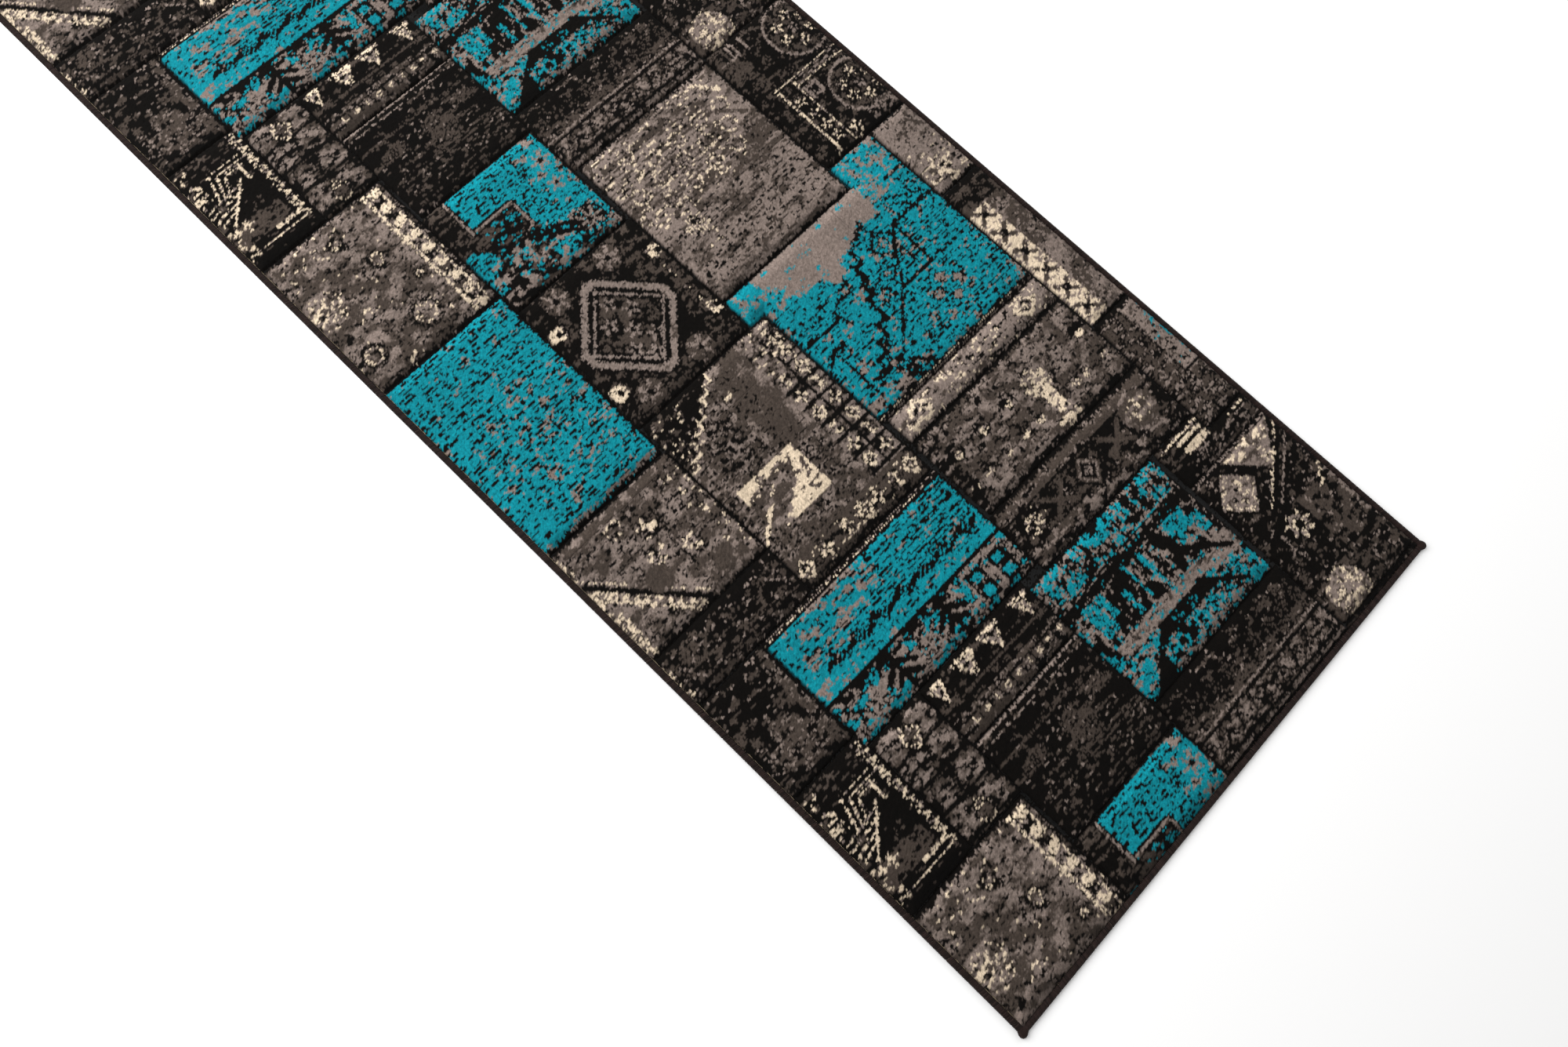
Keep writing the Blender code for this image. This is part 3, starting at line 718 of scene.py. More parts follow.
def key_mauve(p):
    p.mottle({MAUVE: 0.38, TAUPE: 0.62}, (1.1, 0.6))
    p.flecks(BLACK, 0.06, (0.6, 0.4))
    p.specks(BLACK, 0.10)
    p.mottle({TAUPE: 0.75, MAUVE: 0.25}, (2.0, 2.4), where=p.box(30, 36.5, 66, 81.4))
    p.specks(BLACK, 0.12, where=p.x < 34)
    climb = p.y - (72.4 + (p.x - 20.5) * 0.80)
    dark = (climb > 0) & (p.x < 31)
    p.mottle({BLACK: 0.72, TAUPE: 0.28}, (1.6, 0.9), where=dark)
    p.flecks(CREAM, 0.07, where=dark & (p.x < 26))
    p.stairs((20.6, 72.6), (31.0, 81.0), 8, CREAM, 0.34, 0.9)
    p.flecks(BLACK, 0.28, (0.6, 0.5), where=p.box(23.5, 29, 69.0, 75))
    p.flecks(CREAM, 0.25, where=p.disc(31.2, 76.5, 0.8) < 1)
    block = p.box(22.6, 32.2, 59.6, 67.0)
    p.paint(block, CREAM)
    edge = 1.3 * (p.cloud(0.8, 0.5) - 0.5)
    arrow = (p.y - 59.6 + edge > 0.85 * (p.x - 24.7)) & (p.x - 30.0 < 0.53 * (p.y - 64.2))
    arrow &= (p.y < 65.4 + 0.19 * (30.7 - p.x) + edge) & ((p.x > 25.1 + edge) | (p.y < 64.9 + edge))
    p.mottle({TAUPE: 0.65, MAUVE: 0.35}, (1.2, 0.8), where=arrow & block)
    p.flecks(TAUPE, 0.22, (0.7, 0.4), where=block & (p.x > 28.5))
    p.line([(20.2, 59.5), (24.4, 62.7)], CREAM, 0.62, 0.95)
    p.line([(25.8, 63.9), (26.8, 64.5)], CREAM, 0.45, 0.9)
    p.specks(BLACK, 0.06, where=arrow)
    p.dashes(BLACK, 1.3, 2.0, 5.0, where=p.box(32.3, 36.3, 59, 68), cover=0.7)
    strip = p.box(36.4, 42.2, 56.2, 81.4)
    p.mottle({MAUVE: 0.45, TAUPE: 0.35, BLACK: 0.20}, (1.0, 0.7), where=strip)
    for column, (x, cells) in enumerate(((36.9, 6), (39.9, 8))):
        for k in range(cells):
            low = 57.2 + 2.95 * k
            p.line([(x - 0.4, low - 0.4), (x + 2.3, low - 0.4)], BLACK, 0.45)
            key_figure(p, x + 0.1, low + 0.2, 1.7, 1.9, (k + column) % 3)
    p.line([(39.4, 56.2), (39.4, 79.0)], BLACK, 0.35)
    p.flecks(CREAM, 0.12, where=p.box(36.5, 42, 74.5, 81))
    p.mottle({TAUPE: 0.75, BLACK: 0.25}, (2.0, 0.7), where=p.y < 56.3)
    for k, x in enumerate((20.9, 24.7, 28.4, 31.6, 34.0, 37.4, 40.0)):
        key_figure(p, x, 53.1, 1.8 if k else 2.0, 2.2, k % 3)
    p.flecks(CREAM, 0.07, where=p.box(23.5, 42, 52.8, 55.8))
    p.line([(20.3, 56.2), (36.4, 56.2)], TAUPE, 0.4)
    p.hem(near=0.5, far=0.4)


def dotted_grey(p):
    p.mottle({TAUPE: 0.60, MAUVE: 0.40}, (1.2, 0.8))
    p.flecks(BLACK, 0.16, (0.6, 0.4))
    p.specks(BLACK, 0.07)
    for x in (46.2, 51.0, 56.0, 70.3):
        p.flecks(BLACK, 0.6, (0.8, 0.6), where=p.disc(x, 51.2, 1.3) < 1)
        p.paint(p.oval(x, 50.7, 0.7, 0.45) < 1, CREAM, 0.7)
    for x in (44.7, 47.5, 51.0, 54.5, 57.3, 64.5, 66.5, 70.5):
        p.paint(p.oval(x, 46.4, 0.65, 0.45) < 1, CREAM, 0.6)
        p.paint(p.oval(x, 47.0, 1.0, 0.3) < 1, BLACK, 0.7)
    p.flecks(CREAM, 0.38, (0.5, 0.4), where=p.disc(60.8, 50.2, 2.1) < 1)
    p.flecks(CREAM, 0.45, (0.5, 0.5), where=p.box(60.0, 61.8, 43.6, 50))
    p.flecks(CREAM, 0.4, (0.8, 0.5), where=p.box(58.6, 62.4, 43.0, 44.4))
    p.flecks(BLACK, 0.35, (1.0, 0.7), where=(p.x < 46) | (p.y < 43.6))
    p.flecks(MAUVE, 0.6, (1.4, 0.9), where=p.disc(47.5, 44.6, 2.0) < 1)
    p.hem(near=0.6, far=0.5, side=0.35)


def diamond_strip(p):
    p.mottle({MAUVE: 0.82, TAUPE: 0.18}, (2.0, 0.9))
    p.flecks(BLACK, 0.07, (0.6, 0.35))
    p.flecks(CREAM, 0.07, (0.6, 0.3))
    for x in (47.3, 68.0):
        figure = p.diamond(x, 58.3, 2.3, 1.8)
        p.band(figure, 0.62, 1.0, CREAM, 0.8)
        p.paint(figure < 0.5, BLACK, 0.5)
        p.paint(figure < 0.22, CREAM, 0.9)
    p.stairs((51.5, 59.6), (55.0, 57.2), 3, CREAM, 0.4, 0.8)
    p.stairs((60.0, 57.2), (63.5, 59.6), 3, CREAM, 0.35, 0.6)
    p.flecks(CREAM, 0.3, (1.0, 0.35), where=p.box(43.5, 50, 56.2, 57.4))
    p.flecks(BLACK, 0.2, (1.2, 0.35), where=p.box(56, 66, 56.3, 59.8))
    p.hem(near=0.5, far=0.1)


def cream_cross(p):
    p.mottle({TAUPE: 0.70, MAUVE: 0.20, BLACK: 0.10}, (1.8, 1.2))
    p.mottle({MAUVE: 0.5, TAUPE: 0.5}, (2.0, 2.0), where=p.box(76.2, 80, 50, 64))
    p.flecks(BLACK, 0.08, where=p.x > 76)
    p.paint(p.box(72.6, 75.9, 50.3, 72.2), CREAM)
    p.specks(MAUVE, 0.14)
    for k in range(6):
        y = 52.4 + 3.7 * k
        reach = np.maximum(abs(p.x - 74.2) * 0.9, abs(p.y - y))
        arms = (abs(abs(p.x - 74.2) - abs(p.y - y)) < 0.45) & (reach < 1.3)
        p.paint(arms & (p.x < 75.8), TAUPE, 0.9)
        p.paint(p.disc(74.2, y, 0.6) < 1, BLACK, 0.8)
        p.dashes(MAUVE, 0.5, 1.0, 2.0, where=p.box(72.8, 75.6, y + 1.4, y + 2.3), cover=0.6)
    p.mottle({TAUPE: 0.5, BLACK: 0.5}, (1.0, 0.6), where=p.y > 72.4)
    p.paint(p.y > 75.8, BLACK, 0.9)
    p.hem(near=0.4, far=0.4)


def chevron_grey(p):
    p.mottle({MAUVE: 0.45, TAUPE: 0.55}, (1.5, 0.9))
    p.flecks(BLACK, 0.10, (0.55, 0.35))
    p.specks(BLACK, 0.07)
    slope = (71.6 - p.y) - (p.x - 1.3) * 1.12
    fringe = (slope > 0.1) & (slope < 3.0)
    p.flecks(CREAM, 0.28, (0.5, 0.4), where=fringe)
    for k in range(12):
        p.ring(2.0 + 0.86 * k, 69.6 - 0.98 * k, 0.7, 0.32, CREAM, 0.7)
    p.line([(1.3, 71.6), (11.6, 59.8)], BLACK, 0.7)
    p.line([(2.1, 71.7), (12.4, 60.2)], CREAM, 0.3, 0.6)
    p.line([(2.0, 59.5), (2.0, 66.0)], CREAM, 0.7, 0.7)
    p.flecks(CREAM, 0.3, where=p.x < 1.6)
    for x, y, radius in ((10.4, 68.2, 1.3), (14.4, 66.4, 1.2), (8.6, 74.6, 1.2), (12.0, 71.6, 1.3)):
        p.flecks(CREAM, 0.34, (0.5, 0.35), where=p.disc(x, y, 1.15 * radius) < 1)
        p.flecks(BLACK, 0.25, (0.5, 0.35), where=p.disc(x, y, 1.3 * radius) < 1)
    for x, y in ((11.5, 74.6), (17.0, 74.7)):
        p.rosette(x, y, 1.3, BLACK, TAUPE, 6, 0.85)
    p.dashes(BLACK, 0.7, 2.0, 2.5, where=p.box(6, 19, 69.2, 73.4), cover=0.7)
    p.dashes(BLACK, 0.7, 2.0, 2.5, where=p.box(2, 8, 60, 63.0), cover=0.6)
    p.flecks(CREAM, 0.08, where=p.box(17.2, 20, 60, 76))
    worn = (p.disc(8.5, 66.0, 1.8) < 1) | (p.disc(16.5, 61.5, 2.4) < 1)
    p.mottle({TAUPE: 0.9, MAUVE: 0.1}, (1.0, 1.0), where=worn)
    p.mottle({TAUPE: 0.8, MAUVE: 0.2}, (1.0, 1.0), where=p.box(2, 18, 75.4, 76.8))
    p.hem(near=0.5, far=0.4)


def teal_field(p):
    p.mottle({TEAL: 0.97, MAUVE: 0.03}, (1.4, 0.8))
    p.flecks(MAUVE, 0.12, (1.2, 0.5), where=p.disc(11.5, 89.0, 8.5) < 1)
    p.dashes(BLACK, 0.56, 3.2, 2.4, cover=0.88)
    p.specks(BLACK, 0.03)
    p.flecks(BLACK, 0.06, (0.6, 0.3), where=(p.x > 13) & (p.y < 97))
    p.mottle({MAUVE: 0.5, TEAL: 0.4, BLACK: 0.1}, (1.6, 0.5), where=p.y < 78.4)
    p.hem(near=0.7, far=0.3)


def medallion(p):
    p.mottle({BLACK: 0.74, TAUPE: 0.26}, (1.2, 0.7))
    wall = np.maximum(p.diamond(29.0, 92.4, 8.3, 8.9), abs(p.x - 29.0) / 7.3)
    wall = np.maximum(wall, abs(p.y - 92.4) / 8.1) + 0.06 * (p.random.random(p.x.shape) - 0.5)
    p.paint(wall < 1.07, BLACK)
    p.mottle({MAUVE: 0.9, TAUPE: 0.1}, (0.8, 0.6), where=(wall < 1.0) & (wall > 0.86))
    p.paint(wall < 0.86, BLACK)
    inner = p.diamond(29.0, 92.4, 6.2, 6.6)
    p.band(inner, 0.93, 1.01, MAUVE, 0.8)
    garden = inner < 0.84
    p.mottle({BLACK: 0.52, TAUPE: 0.48}, (0.9, 0.7), where=garden)
    for dx, dy in (
        (0, 4.0), (-1.9, 1.6), (1.9, 1.6), (-3.6, -0.6), (0, -0.8), (3.6, -0.6), (-1.8, -3.0),
        (1.8, -3.0), (0, -5.0),
    ):
        p.rosette(29.0 + dx, 92.4 + dy, 1.25, MAUVE if abs(dx) < 2 else TAUPE, None, 5, 0.8)
    for x, y in ((24.6, 101.2), (33.6, 101.2), (24.6, 83.9), (33.4, 84.0)):
        p.rosette(x, y, 2.0, MAUVE, TAUPE, 6, 0.75)
        p.ring(x, y, 2.1, 0.4, BLACK, 0.8)
    for x, y in ((21.6, 97.7), (21.6, 86.6), (39.0, 97.8), (39.0, 86.9)):
        p.paint(p.oval(x, y, 1.3, 1.1) < 1, CREAM, 0.8)
        p.paint(p.disc(x + 0.2, y - 0.1, 0.45) < 1, BLACK)
    p.flecks(TAUPE, 0.3, where=p.y < 84.5)
    p.line([(38.2, 88.4), (38.2, 95.2)], CREAM, 0.35, 0.45)
    p.flecks(TAUPE, 0.4, where=p.box(37.4, 39.6, 87, 99))
    p.hem(near=0.5, far=0.3)


def teal_steps(p):
    p.mottle({TEAL: 0.96, MAUVE: 0.04}, (1.6, 1.0))
    waves = p.cloud(4.0, 2.0) * 2.4
    shore = 83.4 - 3.4 * smooth((p.x - 44.5) / 3) + 2.2 * smooth((p.x - 55) / 7) + 1.2 * waves - 1.2
    smoke = p.box(44.4, 64.4, 76.0, 86.4) & (p.y > shore)
    smoke |= p.oval(53.4, 79.6, 1.6, 2.2) < 1
    p.mottle({MAUVE: 0.92, TEAL: 0.08}, (1.4, 0.9), where=smoke)
    p.flecks(MAUVE, 0.11, (1.5, 0.8), where=p.box(52, 66, 73, 82))
    p.flecks(MAUVE, 0.07, (1.2, 0.7), where=p.y < 72)
    p.flecks(MAUVE, 0.5, (1.6, 1.0), where=p.box(42.8, 50, 60.6, 63.2))
    rows = ~smoke & (p.y < 86)
    p.dashes(BLACK, 0.56, 2.8, 2.2, where=rows & (p.x > 56) & (p.y < 76), cover=0.9)
    p.dashes(BLACK, 0.56, 2.2, 2.6, where=rows & (p.x < 56) & (p.y < 80), cover=0.8)
    p.dashes(BLACK, 0.60, 1.6, 1.8, where=rows & (p.x > 58) & (p.y > 76) & (p.y < 83), cover=0.8)
    p.specks(BLACK, 0.06, where=rows)
    p.stairs((46.6, 64.8), (53.6, 71.8), 4, BLACK, 0.65, 0.92)
    p.stairs((53.6, 73.4), (57.0, 79.6), 3, BLACK, 0.75, 0.92)
    p.stairs((48.3, 74.8), (53.4, 78.0), 3, BLACK, 0.4, 0.7)
    p.stairs((57.0, 79.8), (61.0, 82.0), 3, BLACK, 0.6, 0.8)
    for x, y, across, along in ((55.2, 72.4, 2.0, 1.6), (58.4, 74.2, 1.7, 1.4), (61.2, 77.6, 2.2, 2.4)):
        figure = p.diamond(x, y, across, along)
        p.band(figure, 0.78, 1.05, BLACK, 0.85)
        p.band(figure, 0.3, 0.55, BLACK, 0.6)
        p.paint(figure < 0.3, MAUVE, 0.8)
    for width, cover, *points in (
        (0.45, 0.95, (51.5, 65.0), (59.6, 72.8)),
        (0.45, 0.95, (60.0, 73.6), (64.2, 78.6), (71.6, 78.6)),
        (0.5, 0.95, (64.2, 78.4), (64.2, 71.4), (59.2, 71.4)),
        (0.4, 0.9, (62.6, 75.6), (62.6, 72.9), (60.8, 72.9)),
        (0.5, 1.0, (43.0, 74.3), (48.6, 74.0)),
        (0.5, 0.85, (45.2, 62.8), (45.2, 71.2), (43.8, 71.2)),
        (0.5, 1.0, (43.4, 70.2), (45.2, 71.6), (46.8, 71.0)),
        (0.35, 0.8, (66.0, 82.0), (71.0, 79.2)),
        (0.35, 0.8, (66.5, 80.6), (68.5, 79.2)),
        (0.5, 1.0, (68.4, 84.0), (71.6, 84.0)),
    ):
        p.line(points, BLACK, width, cover)
    p.rosette(49.6, 64.9, 1.9, BLACK, None, 4, 0.9)
    p.paint(p.disc(50.8, 62.4, 1.0) < 1, BLACK, 0.9)
    p.paint(p.disc(50.9, 67.3, 0.8) < 1, BLACK, 0.8)
    p.line([(51.6, 64.0), (54.2, 61.0)], BLACK, 0.6)
    for x, y in ((63.0, 69.0), (61.2, 67.3), (64.7, 67.3), (63.0, 65.6)):
        figure = p.diamond(x, y, 1.0, 0.9)
        p.paint(figure < 1.25, BLACK, 0.6)
        p.paint(figure < 0.85, MAUVE, 0.95)
    p.flecks(MAUVE, 0.30, (1.0, 0.7), where=p.box(64, 71.8, 82.5, 90.3))
    p.flecks(BLACK, 0.12, where=p.box(64, 71.8, 86.0, 90.3))
    p.flecks(MAUVE, 0.22, (0.7, 1.2), where=p.box(40, 46, 80, 86))
    p.hem(near=0.5, far=0.2, side=0.25)
    p.stitches(p.near, 1)
    p.paint(p.box(39.8, 64.0, 85.95, 86.6) & (p.x < 63.6), BLACK, 0.9)
    p.paint(p.box(42.2, 42.7, 60, 81), BLACK, 0.7)


def mesh_grey(p):
    p.mottle({MAUVE: 0.80, TAUPE: 0.20}, (1.0, 0.7))
    p.flecks(BLACK, 0.08, (0.6, 0.3))
    p.stairs((73.0, 78.6), (79.4, 82.4), 4, CREAM, 0.35, 0.7)
    p.stairs((79.6, 78.2), (74.0, 83.0), 4, CREAM, 0.3, 0.5)
    p.flecks(CREAM, 0.12, (0.8, 0.35), where=p.y < 84)
    p.line([(74.6, 85.0), (77.0, 88.6), (79.6, 85.5)], TAUPE, 0.5, 0.8)
    p.dashes(BLACK, 0.9, 3.0, 3.0, where=p.y < 82, cover=0.4)
    p.hem(near=0.5, far=0.4)


def cloud_grey(p):
    p.mottle({MAUVE: 0.76, TAUPE: 0.24}, (3.0, 1.2))
    p.mottle({TAUPE: 0.6, MAUVE: 0.4}, (2.5, 0.9), where=p.box(47, 64, 97.8, 100.6 + 0.2 * (p.x - 47)))
    p.mottle({TAUPE: 0.5, MAUVE: 0.5}, (3.0, 0.8), where=p.box(40, 64, 86, 89))
    p.dashes(BLACK, 0.62, 1.5, 1.9, where=p.box(41, 63.2, 88.2, 98), cover=0.6)
    p.dashes(TAUPE, 0.55, 2.5, 3.5, cover=0.5)
    p.specks(BLACK, 0.06)
    swirl = p.box(40.2, 58.5, 98.8, 112.6) | p.box(57, 62.0, 108.5, 113)
    p.dashes(CREAM, 0.75, 1.8, 2.4, where=swirl, cover=0.5)
    p.flecks(CREAM, 0.05, (0.5, 0.32), where=p.box(40.5, 57, 99.3, 101.8))
    p.dashes(BLACK, 0.8, 1.5, 3.5, where=swirl, cover=0.6)
    for k in range(16):
        row, column = divmod(k, 5)
        x, y = 41.6 + 4.1 * column + 1.3 * row, 101.6 + 2.9 * row
        p.ring(x, y, 1.15, 0.32, CREAM, 0.5)
        p.ring(x, y, 0.75, 0.3, BLACK, 0.3)
    p.dashes(TAUPE, 0.8, 3.5, 3.0, where=swirl, cover=0.6)
    p.line([(59.5, 112.2), (62.2, 109.2)], CREAM, 0.6, 0.75)
    p.line([(58.5, 107.6), (62.5, 104.2)], TAUPE, 0.7, 0.8)
    p.paint(p.diamond(45.6, 96.6, 2.0, 2.6) < 1, CREAM, 0.4)
    p.paint(p.diamond(45.6, 97.2, 0.8, 1.0) < 1, BLACK, 0.6)
    p.line([(44.6, 93.0), (46.6, 93.0), (46.6, 95.0)], CREAM, 0.3, 0.6)
    p.hem(near=0.5, far=0.6, side=0.35)


def florets(p, x, y, radius):
    """A ring of small flowers inside a circle."""
    p.mottle({TAUPE: 0.6, BLACK: 0.4}, (0.8, 0.6), where=p.disc(x, y, radius) < 1)
    p.ring(x, y, radius, 0.4, MAUVE, 0.8)
    p.ring(x, y, radius * 0.85, 0.3, BLACK, 0.7)
    for k in range(6):
        angle, reach = 1.05 * k + 0.4, 0.55 * radius
        p.rosette(x + reach * math.cos(angle), y + reach * math.sin(angle), 1.0, CREAM, BLACK, 5, 0.6)
    p.rosette(x, y, 0.9, MAUVE, BLACK, 5, 0.7)


def rosette_black(p):
    p.mottle({BLACK: 0.82, TAUPE: 0.18}, (1.0, 0.6))
    p.specks(TAUPE, 0.05)
    p.dashes(TAUPE, 0.8, 2.5, 2.5, where=p.box(66, 74, 103.5, 108), cover=0.6)
    florets(p, 77.0, 109.0, 4.5)
    florets(p, 77.2, 96.6, 4.3)
    p.flecks(MAUVE, 0.25, where=p.box(74.5, 80, 91, 93))
    for x in (67.6, 70.3):
        p.line([(x, 91.0), (x, 103.3)], CREAM, 0.28, 0.75)
    p.line([(67.4, 103.4), (80, 103.4)], CREAM, 0.3, 0.8)
    p.line([(70.4, 102.0), (80, 102.0)], CREAM, 0.28, 0.7)
    p.line([(67.0, 90.8), (68.0, 92.6)], CREAM, 0.28, 0.7)
    p.line([(71.0, 90.8), (72.6, 91.6)], CREAM, 0.28, 0.7)
    for y in (93.0, 95.2, 97.6, 100.0):
        p.rosette(68.95, y, 1.0, CREAM, BLACK, 5, 0.65)
    p.dashes(MAUVE, 0.5, 2.0, 1.0, where=p.box(70.5, 80, 102.1, 103.2), cover=0.6)
    p.paint(p.box(70.6, 73.0, 99.0, 101.4), MAUVE, 0.8)
    p.paint(p.box(71.2, 72.4, 99.6, 100.8), BLACK, 0.8)
    p.rosette(71.8, 92.2, 1.2, CREAM, None, 5, 0.6)
    for k in range(4):
        x = 65.0 + 1.6 * k
        p.line([(x, 110.8), (x, 113.4)], TAUPE if k < 2 else MAUVE, 0.4, 0.85)
    p.line([(64.8, 111.0), (67.4, 111.0), (67.4, 113.4)], MAUVE, 0.35, 0.8)
    p.flecks(TAUPE, 0.5, where=p.box(64.4, 66.4, 108, 111))
    p.paint(p.box(70.8, 72.0, 103.6, 110.5), BLACK, 0.8)
    p.hem(near=0.5, far=0.5)


MAKERS = {
    maker.__name__: maker
    for maker in (
        floral_grey, teal_silhouette, zigzag_brown, diamond_black, arrow_black, leaf_mauve, cloud_black,
        tooth_strip, teal_temple, white_bar, smoke_brown, teal_stripes, brown_band, brown_mauve,
        dark_floral, key_mauve, dotted_grey, diamond_strip, cream_cross, chevron_grey, teal_field,
        medallion, teal_steps, mesh_grey, cloud_grey, rosette_black,
    )
}


def yarn_chart():
    """The yarn of every tuft of one repeat, row by row from its near end."""
    chart = np.full((ROWS_PER_REPEAT, TUFTS_ACROSS), BLACK)
    for seed, (name, rectangles) in enumerate(PATCHES.items()):
        patch = Patch(rectangles, seed)
        MAKERS[name](patch)
        patch.wear()
        rows, columns = np.meshgrid(patch.rows % ROWS_PER_REPEAT, patch.columns, indexing="ij")
        chart[rows[patch.inside], columns[patch.inside]] = patch.yarn[patch.inside]
    return chart



def patch_depth(x, y):
    """How far inside its patch, and inside the pile's rim, each point lies, in metres.

    x and y are the grid's own lines.
    """
    across, along = WIDTH / DESIGN_WIDTH_CM, 1 / CM_PER_METRE
    depth = np.zeros((len(y), len(x)))
    turns = range(-1, math.ceil(LENGTH * CM_PER_METRE / REPEAT_CM) + 1)
    for turn in turns:
        start = turn * REPEAT_CM * along - LENGTH / 2
        for rectangles in PATCHES.values():
            for left, right, near, far in rectangles:
                low_x, high_x = left * across - WIDTH / 2, right * across - WIDTH / 2
                low_y, high_y = near * along + start, far * along + start
                i = slice(*np.searchsorted(x, (low_x, high_x)))
                j = slice(*np.searchsorted(y, (low_y, high_y)))
                if i.start == i.stop or j.start == j.stop:
                    continue
                aside = np.minimum(x[i] - low_x, high_x - x[i])
                onward = np.minimum(y[j] - low_y, high_y - y[j])
                inside = np.minimum(aside[None, :], onward[:, None])
                depth[j, i] = np.maximum(depth[j, i], inside)
    edge = np.minimum(
        np.minimum(x - PILE_LOW.x, PILE_HIGH.x - x)[None, :],
        np.minimum(y - PILE_LOW.y, PILE_HIGH.y - y)[:, None],
    )
    return depth, edge


# ---------------------------------------------------------------- shared material groups


def new_group(name, inputs, outputs):
    """A new shader node group with the given sockets, and its input and output nodes."""
    group = bpy.data.node_groups.new(name, "ShaderNodeTree")
    for label, kind, value in inputs:
        socket = group.interface.new_socket(label, in_out="INPUT", socket_type=kind)
        socket.default_value = value
    for label, kind in outputs:
        group.interface.new_socket(label, in_out="OUTPUT", socket_type=kind)
    return group, group.nodes.new("NodeGroupInput"), group.nodes.new("NodeGroupOutput")


def add_node(tree, kind, values=None, **settings):
    """A node with the given socket values and settings."""
    node = tree.nodes.new(kind)
    for name, value in settings.items():
        setattr(node, name, value)
    for socket, value in (values or {}).items():
        node.inputs[socket].default_value = value
    return node


def fibre_group():
    """Fine fibres, so many to a metre: shades a colour up and down, and gives a bumpy normal."""
    if "Fibre" in bpy.data.node_groups:
        return bpy.data.node_groups["Fibre"]
    inputs = (
        ("Color", "NodeSocketColor", (0.5, 0.5, 0.5, 1)),
        ("Scale", "NodeSocketFloat", 900.0),
        ("Contrast", "NodeSocketFloat", 0.3),
        ("Relief", "NodeSocketFloat", 0.5),
    )
    outputs = (("Color", "NodeSocketColor"), ("Normal", "NodeSocketVector"))
    group, given, out = new_group("Fibre", inputs, outputs)
    link = group.links.new
    place = add_node(group, "ShaderNodeTexCoord")
    fine = add_node(group, "ShaderNodeTexNoise", {"Detail": 3.0, "Roughness": 0.65})
    link(place.outputs["Object"], fine.inputs["Vector"])
    link(given.outputs["Scale"], fine.inputs["Scale"])
    low = add_node(group, "ShaderNodeMath", {0: 1.0}, operation="SUBTRACT")
    link(given.outputs["Contrast"], low.inputs[1])
    high = add_node(group, "ShaderNodeMath", {0: 1.0}, operation="ADD")
    link(given.outputs["Contrast"], high.inputs[1])
    spread = add_node(group, "ShaderNodeMapRange", {"From Min": 0.3, "From Max": 0.7})
    link(fine.outputs["Fac"], spread.inputs["Value"])
    link(low.outputs[0], spread.inputs["To Min"])
    link(high.outputs[0], spread.inputs["To Max"])
    shaded = add_node(group, "ShaderNodeVectorMath", operation="SCALE")
    link(given.outputs["Color"], shaded.inputs[0])
    link(spread.outputs["Result"], shaded.inputs["Scale"])
    link(shaded.outputs["Vector"], out.inputs["Color"])
    bump = add_node(group, "ShaderNodeBump", {"Distance": 0.0006})
    link(given.outputs["Relief"], bump.inputs["Strength"])
    link(fine.outputs["Fac"], bump.inputs["Height"])
    link(bump.outputs["Normal"], out.inputs["Normal"])
    return group


def yarn_material(name, colour=None):
    """A cloth finish from the table: the given colour or a painted one, with fibres over it."""
    scale, contrast, relief, roughness, sheen, attribute = FINISHES[name]
    made = bpy.data.materials.get(name)
    if made is not None:
        return made
    made = bpy.data.materials.new(name)
    made.use_nodes = True
    tree = made.node_tree
    shader = tree.nodes["Principled BSDF"]
    fibre = add_node(tree, "ShaderNodeGroup", node_tree=fibre_group())
    for socket, value in (("Scale", scale), ("Contrast", contrast), ("Relief", relief)):
        fibre.inputs[socket].default_value = value
    if attribute is None:
        fibre.inputs["Color"].default_value = (*colour, 1)
    else:
        painted = add_node(tree, "ShaderNodeAttribute", attribute_name=attribute)
        tree.links.new(painted.outputs["Color"], fibre.inputs["Color"])
    tree.links.new(fibre.outputs["Color"], shader.inputs["Base Color"])
    tree.links.new(fibre.outputs["Normal"], shader.inputs["Normal"])
    shader.inputs["Roughness"].default_value = roughness
    shader.inputs["Specular IOR Level"].default_value = 0.1
    shader.inputs["Sheen Weight"].default_value = sheen
    shader.inputs["Sheen Roughness"].default_value = 0.45
    shader.inputs["Sheen Tint"].default_value = (1.0, 0.97, 0.94, 1)
    return made


# ---------------------------------------------------------------- mesh helpers


def deselect():
    """Leaves edit mode and selects nothing."""
    if bpy.context.object is not None and bpy.context.object.mode != "OBJECT":
        bpy.ops.object.mode_set(mode="OBJECT")
    bpy.ops.object.select_all(action="DESELECT")


def open_mesh():
    """Goes into edit mode on the active object, with all of its mesh selected."""
    bpy.ops.object.mode_set(mode="EDIT")
    bpy.ops.mesh.select_all(action="SELECT")


def face_outwards():
    """Turns the faces of the active object outwards."""
    open_mesh()
    bpy.ops.mesh.normals_make_consistent(inside=False)
    bpy.ops.object.mode_set(mode="OBJECT")


def name_piece(name, material, node):
    """Names the active object, gives it its finish, and ties it to the frame."""
    piece = bpy.context.object
    piece.name = piece.data.name = name
    piece.data.materials.clear()
    piece.data.materials.append(material)
    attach(piece, BODY)
    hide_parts(node)


def read_points(mesh):
    """The mesh's points, one to a row."""
    points = np.empty(len(mesh.vertices) * 3, np.float32)
    mesh.vertices.foreach_get("co", points)
    return points.reshape(-1, 3)


def write_points(mesh, points):
    """Moves the mesh's points to the given places."""
    mesh.vertices.foreach_set("co", np.ascontiguousarray(points, np.float32).ravel())
    mesh.update()


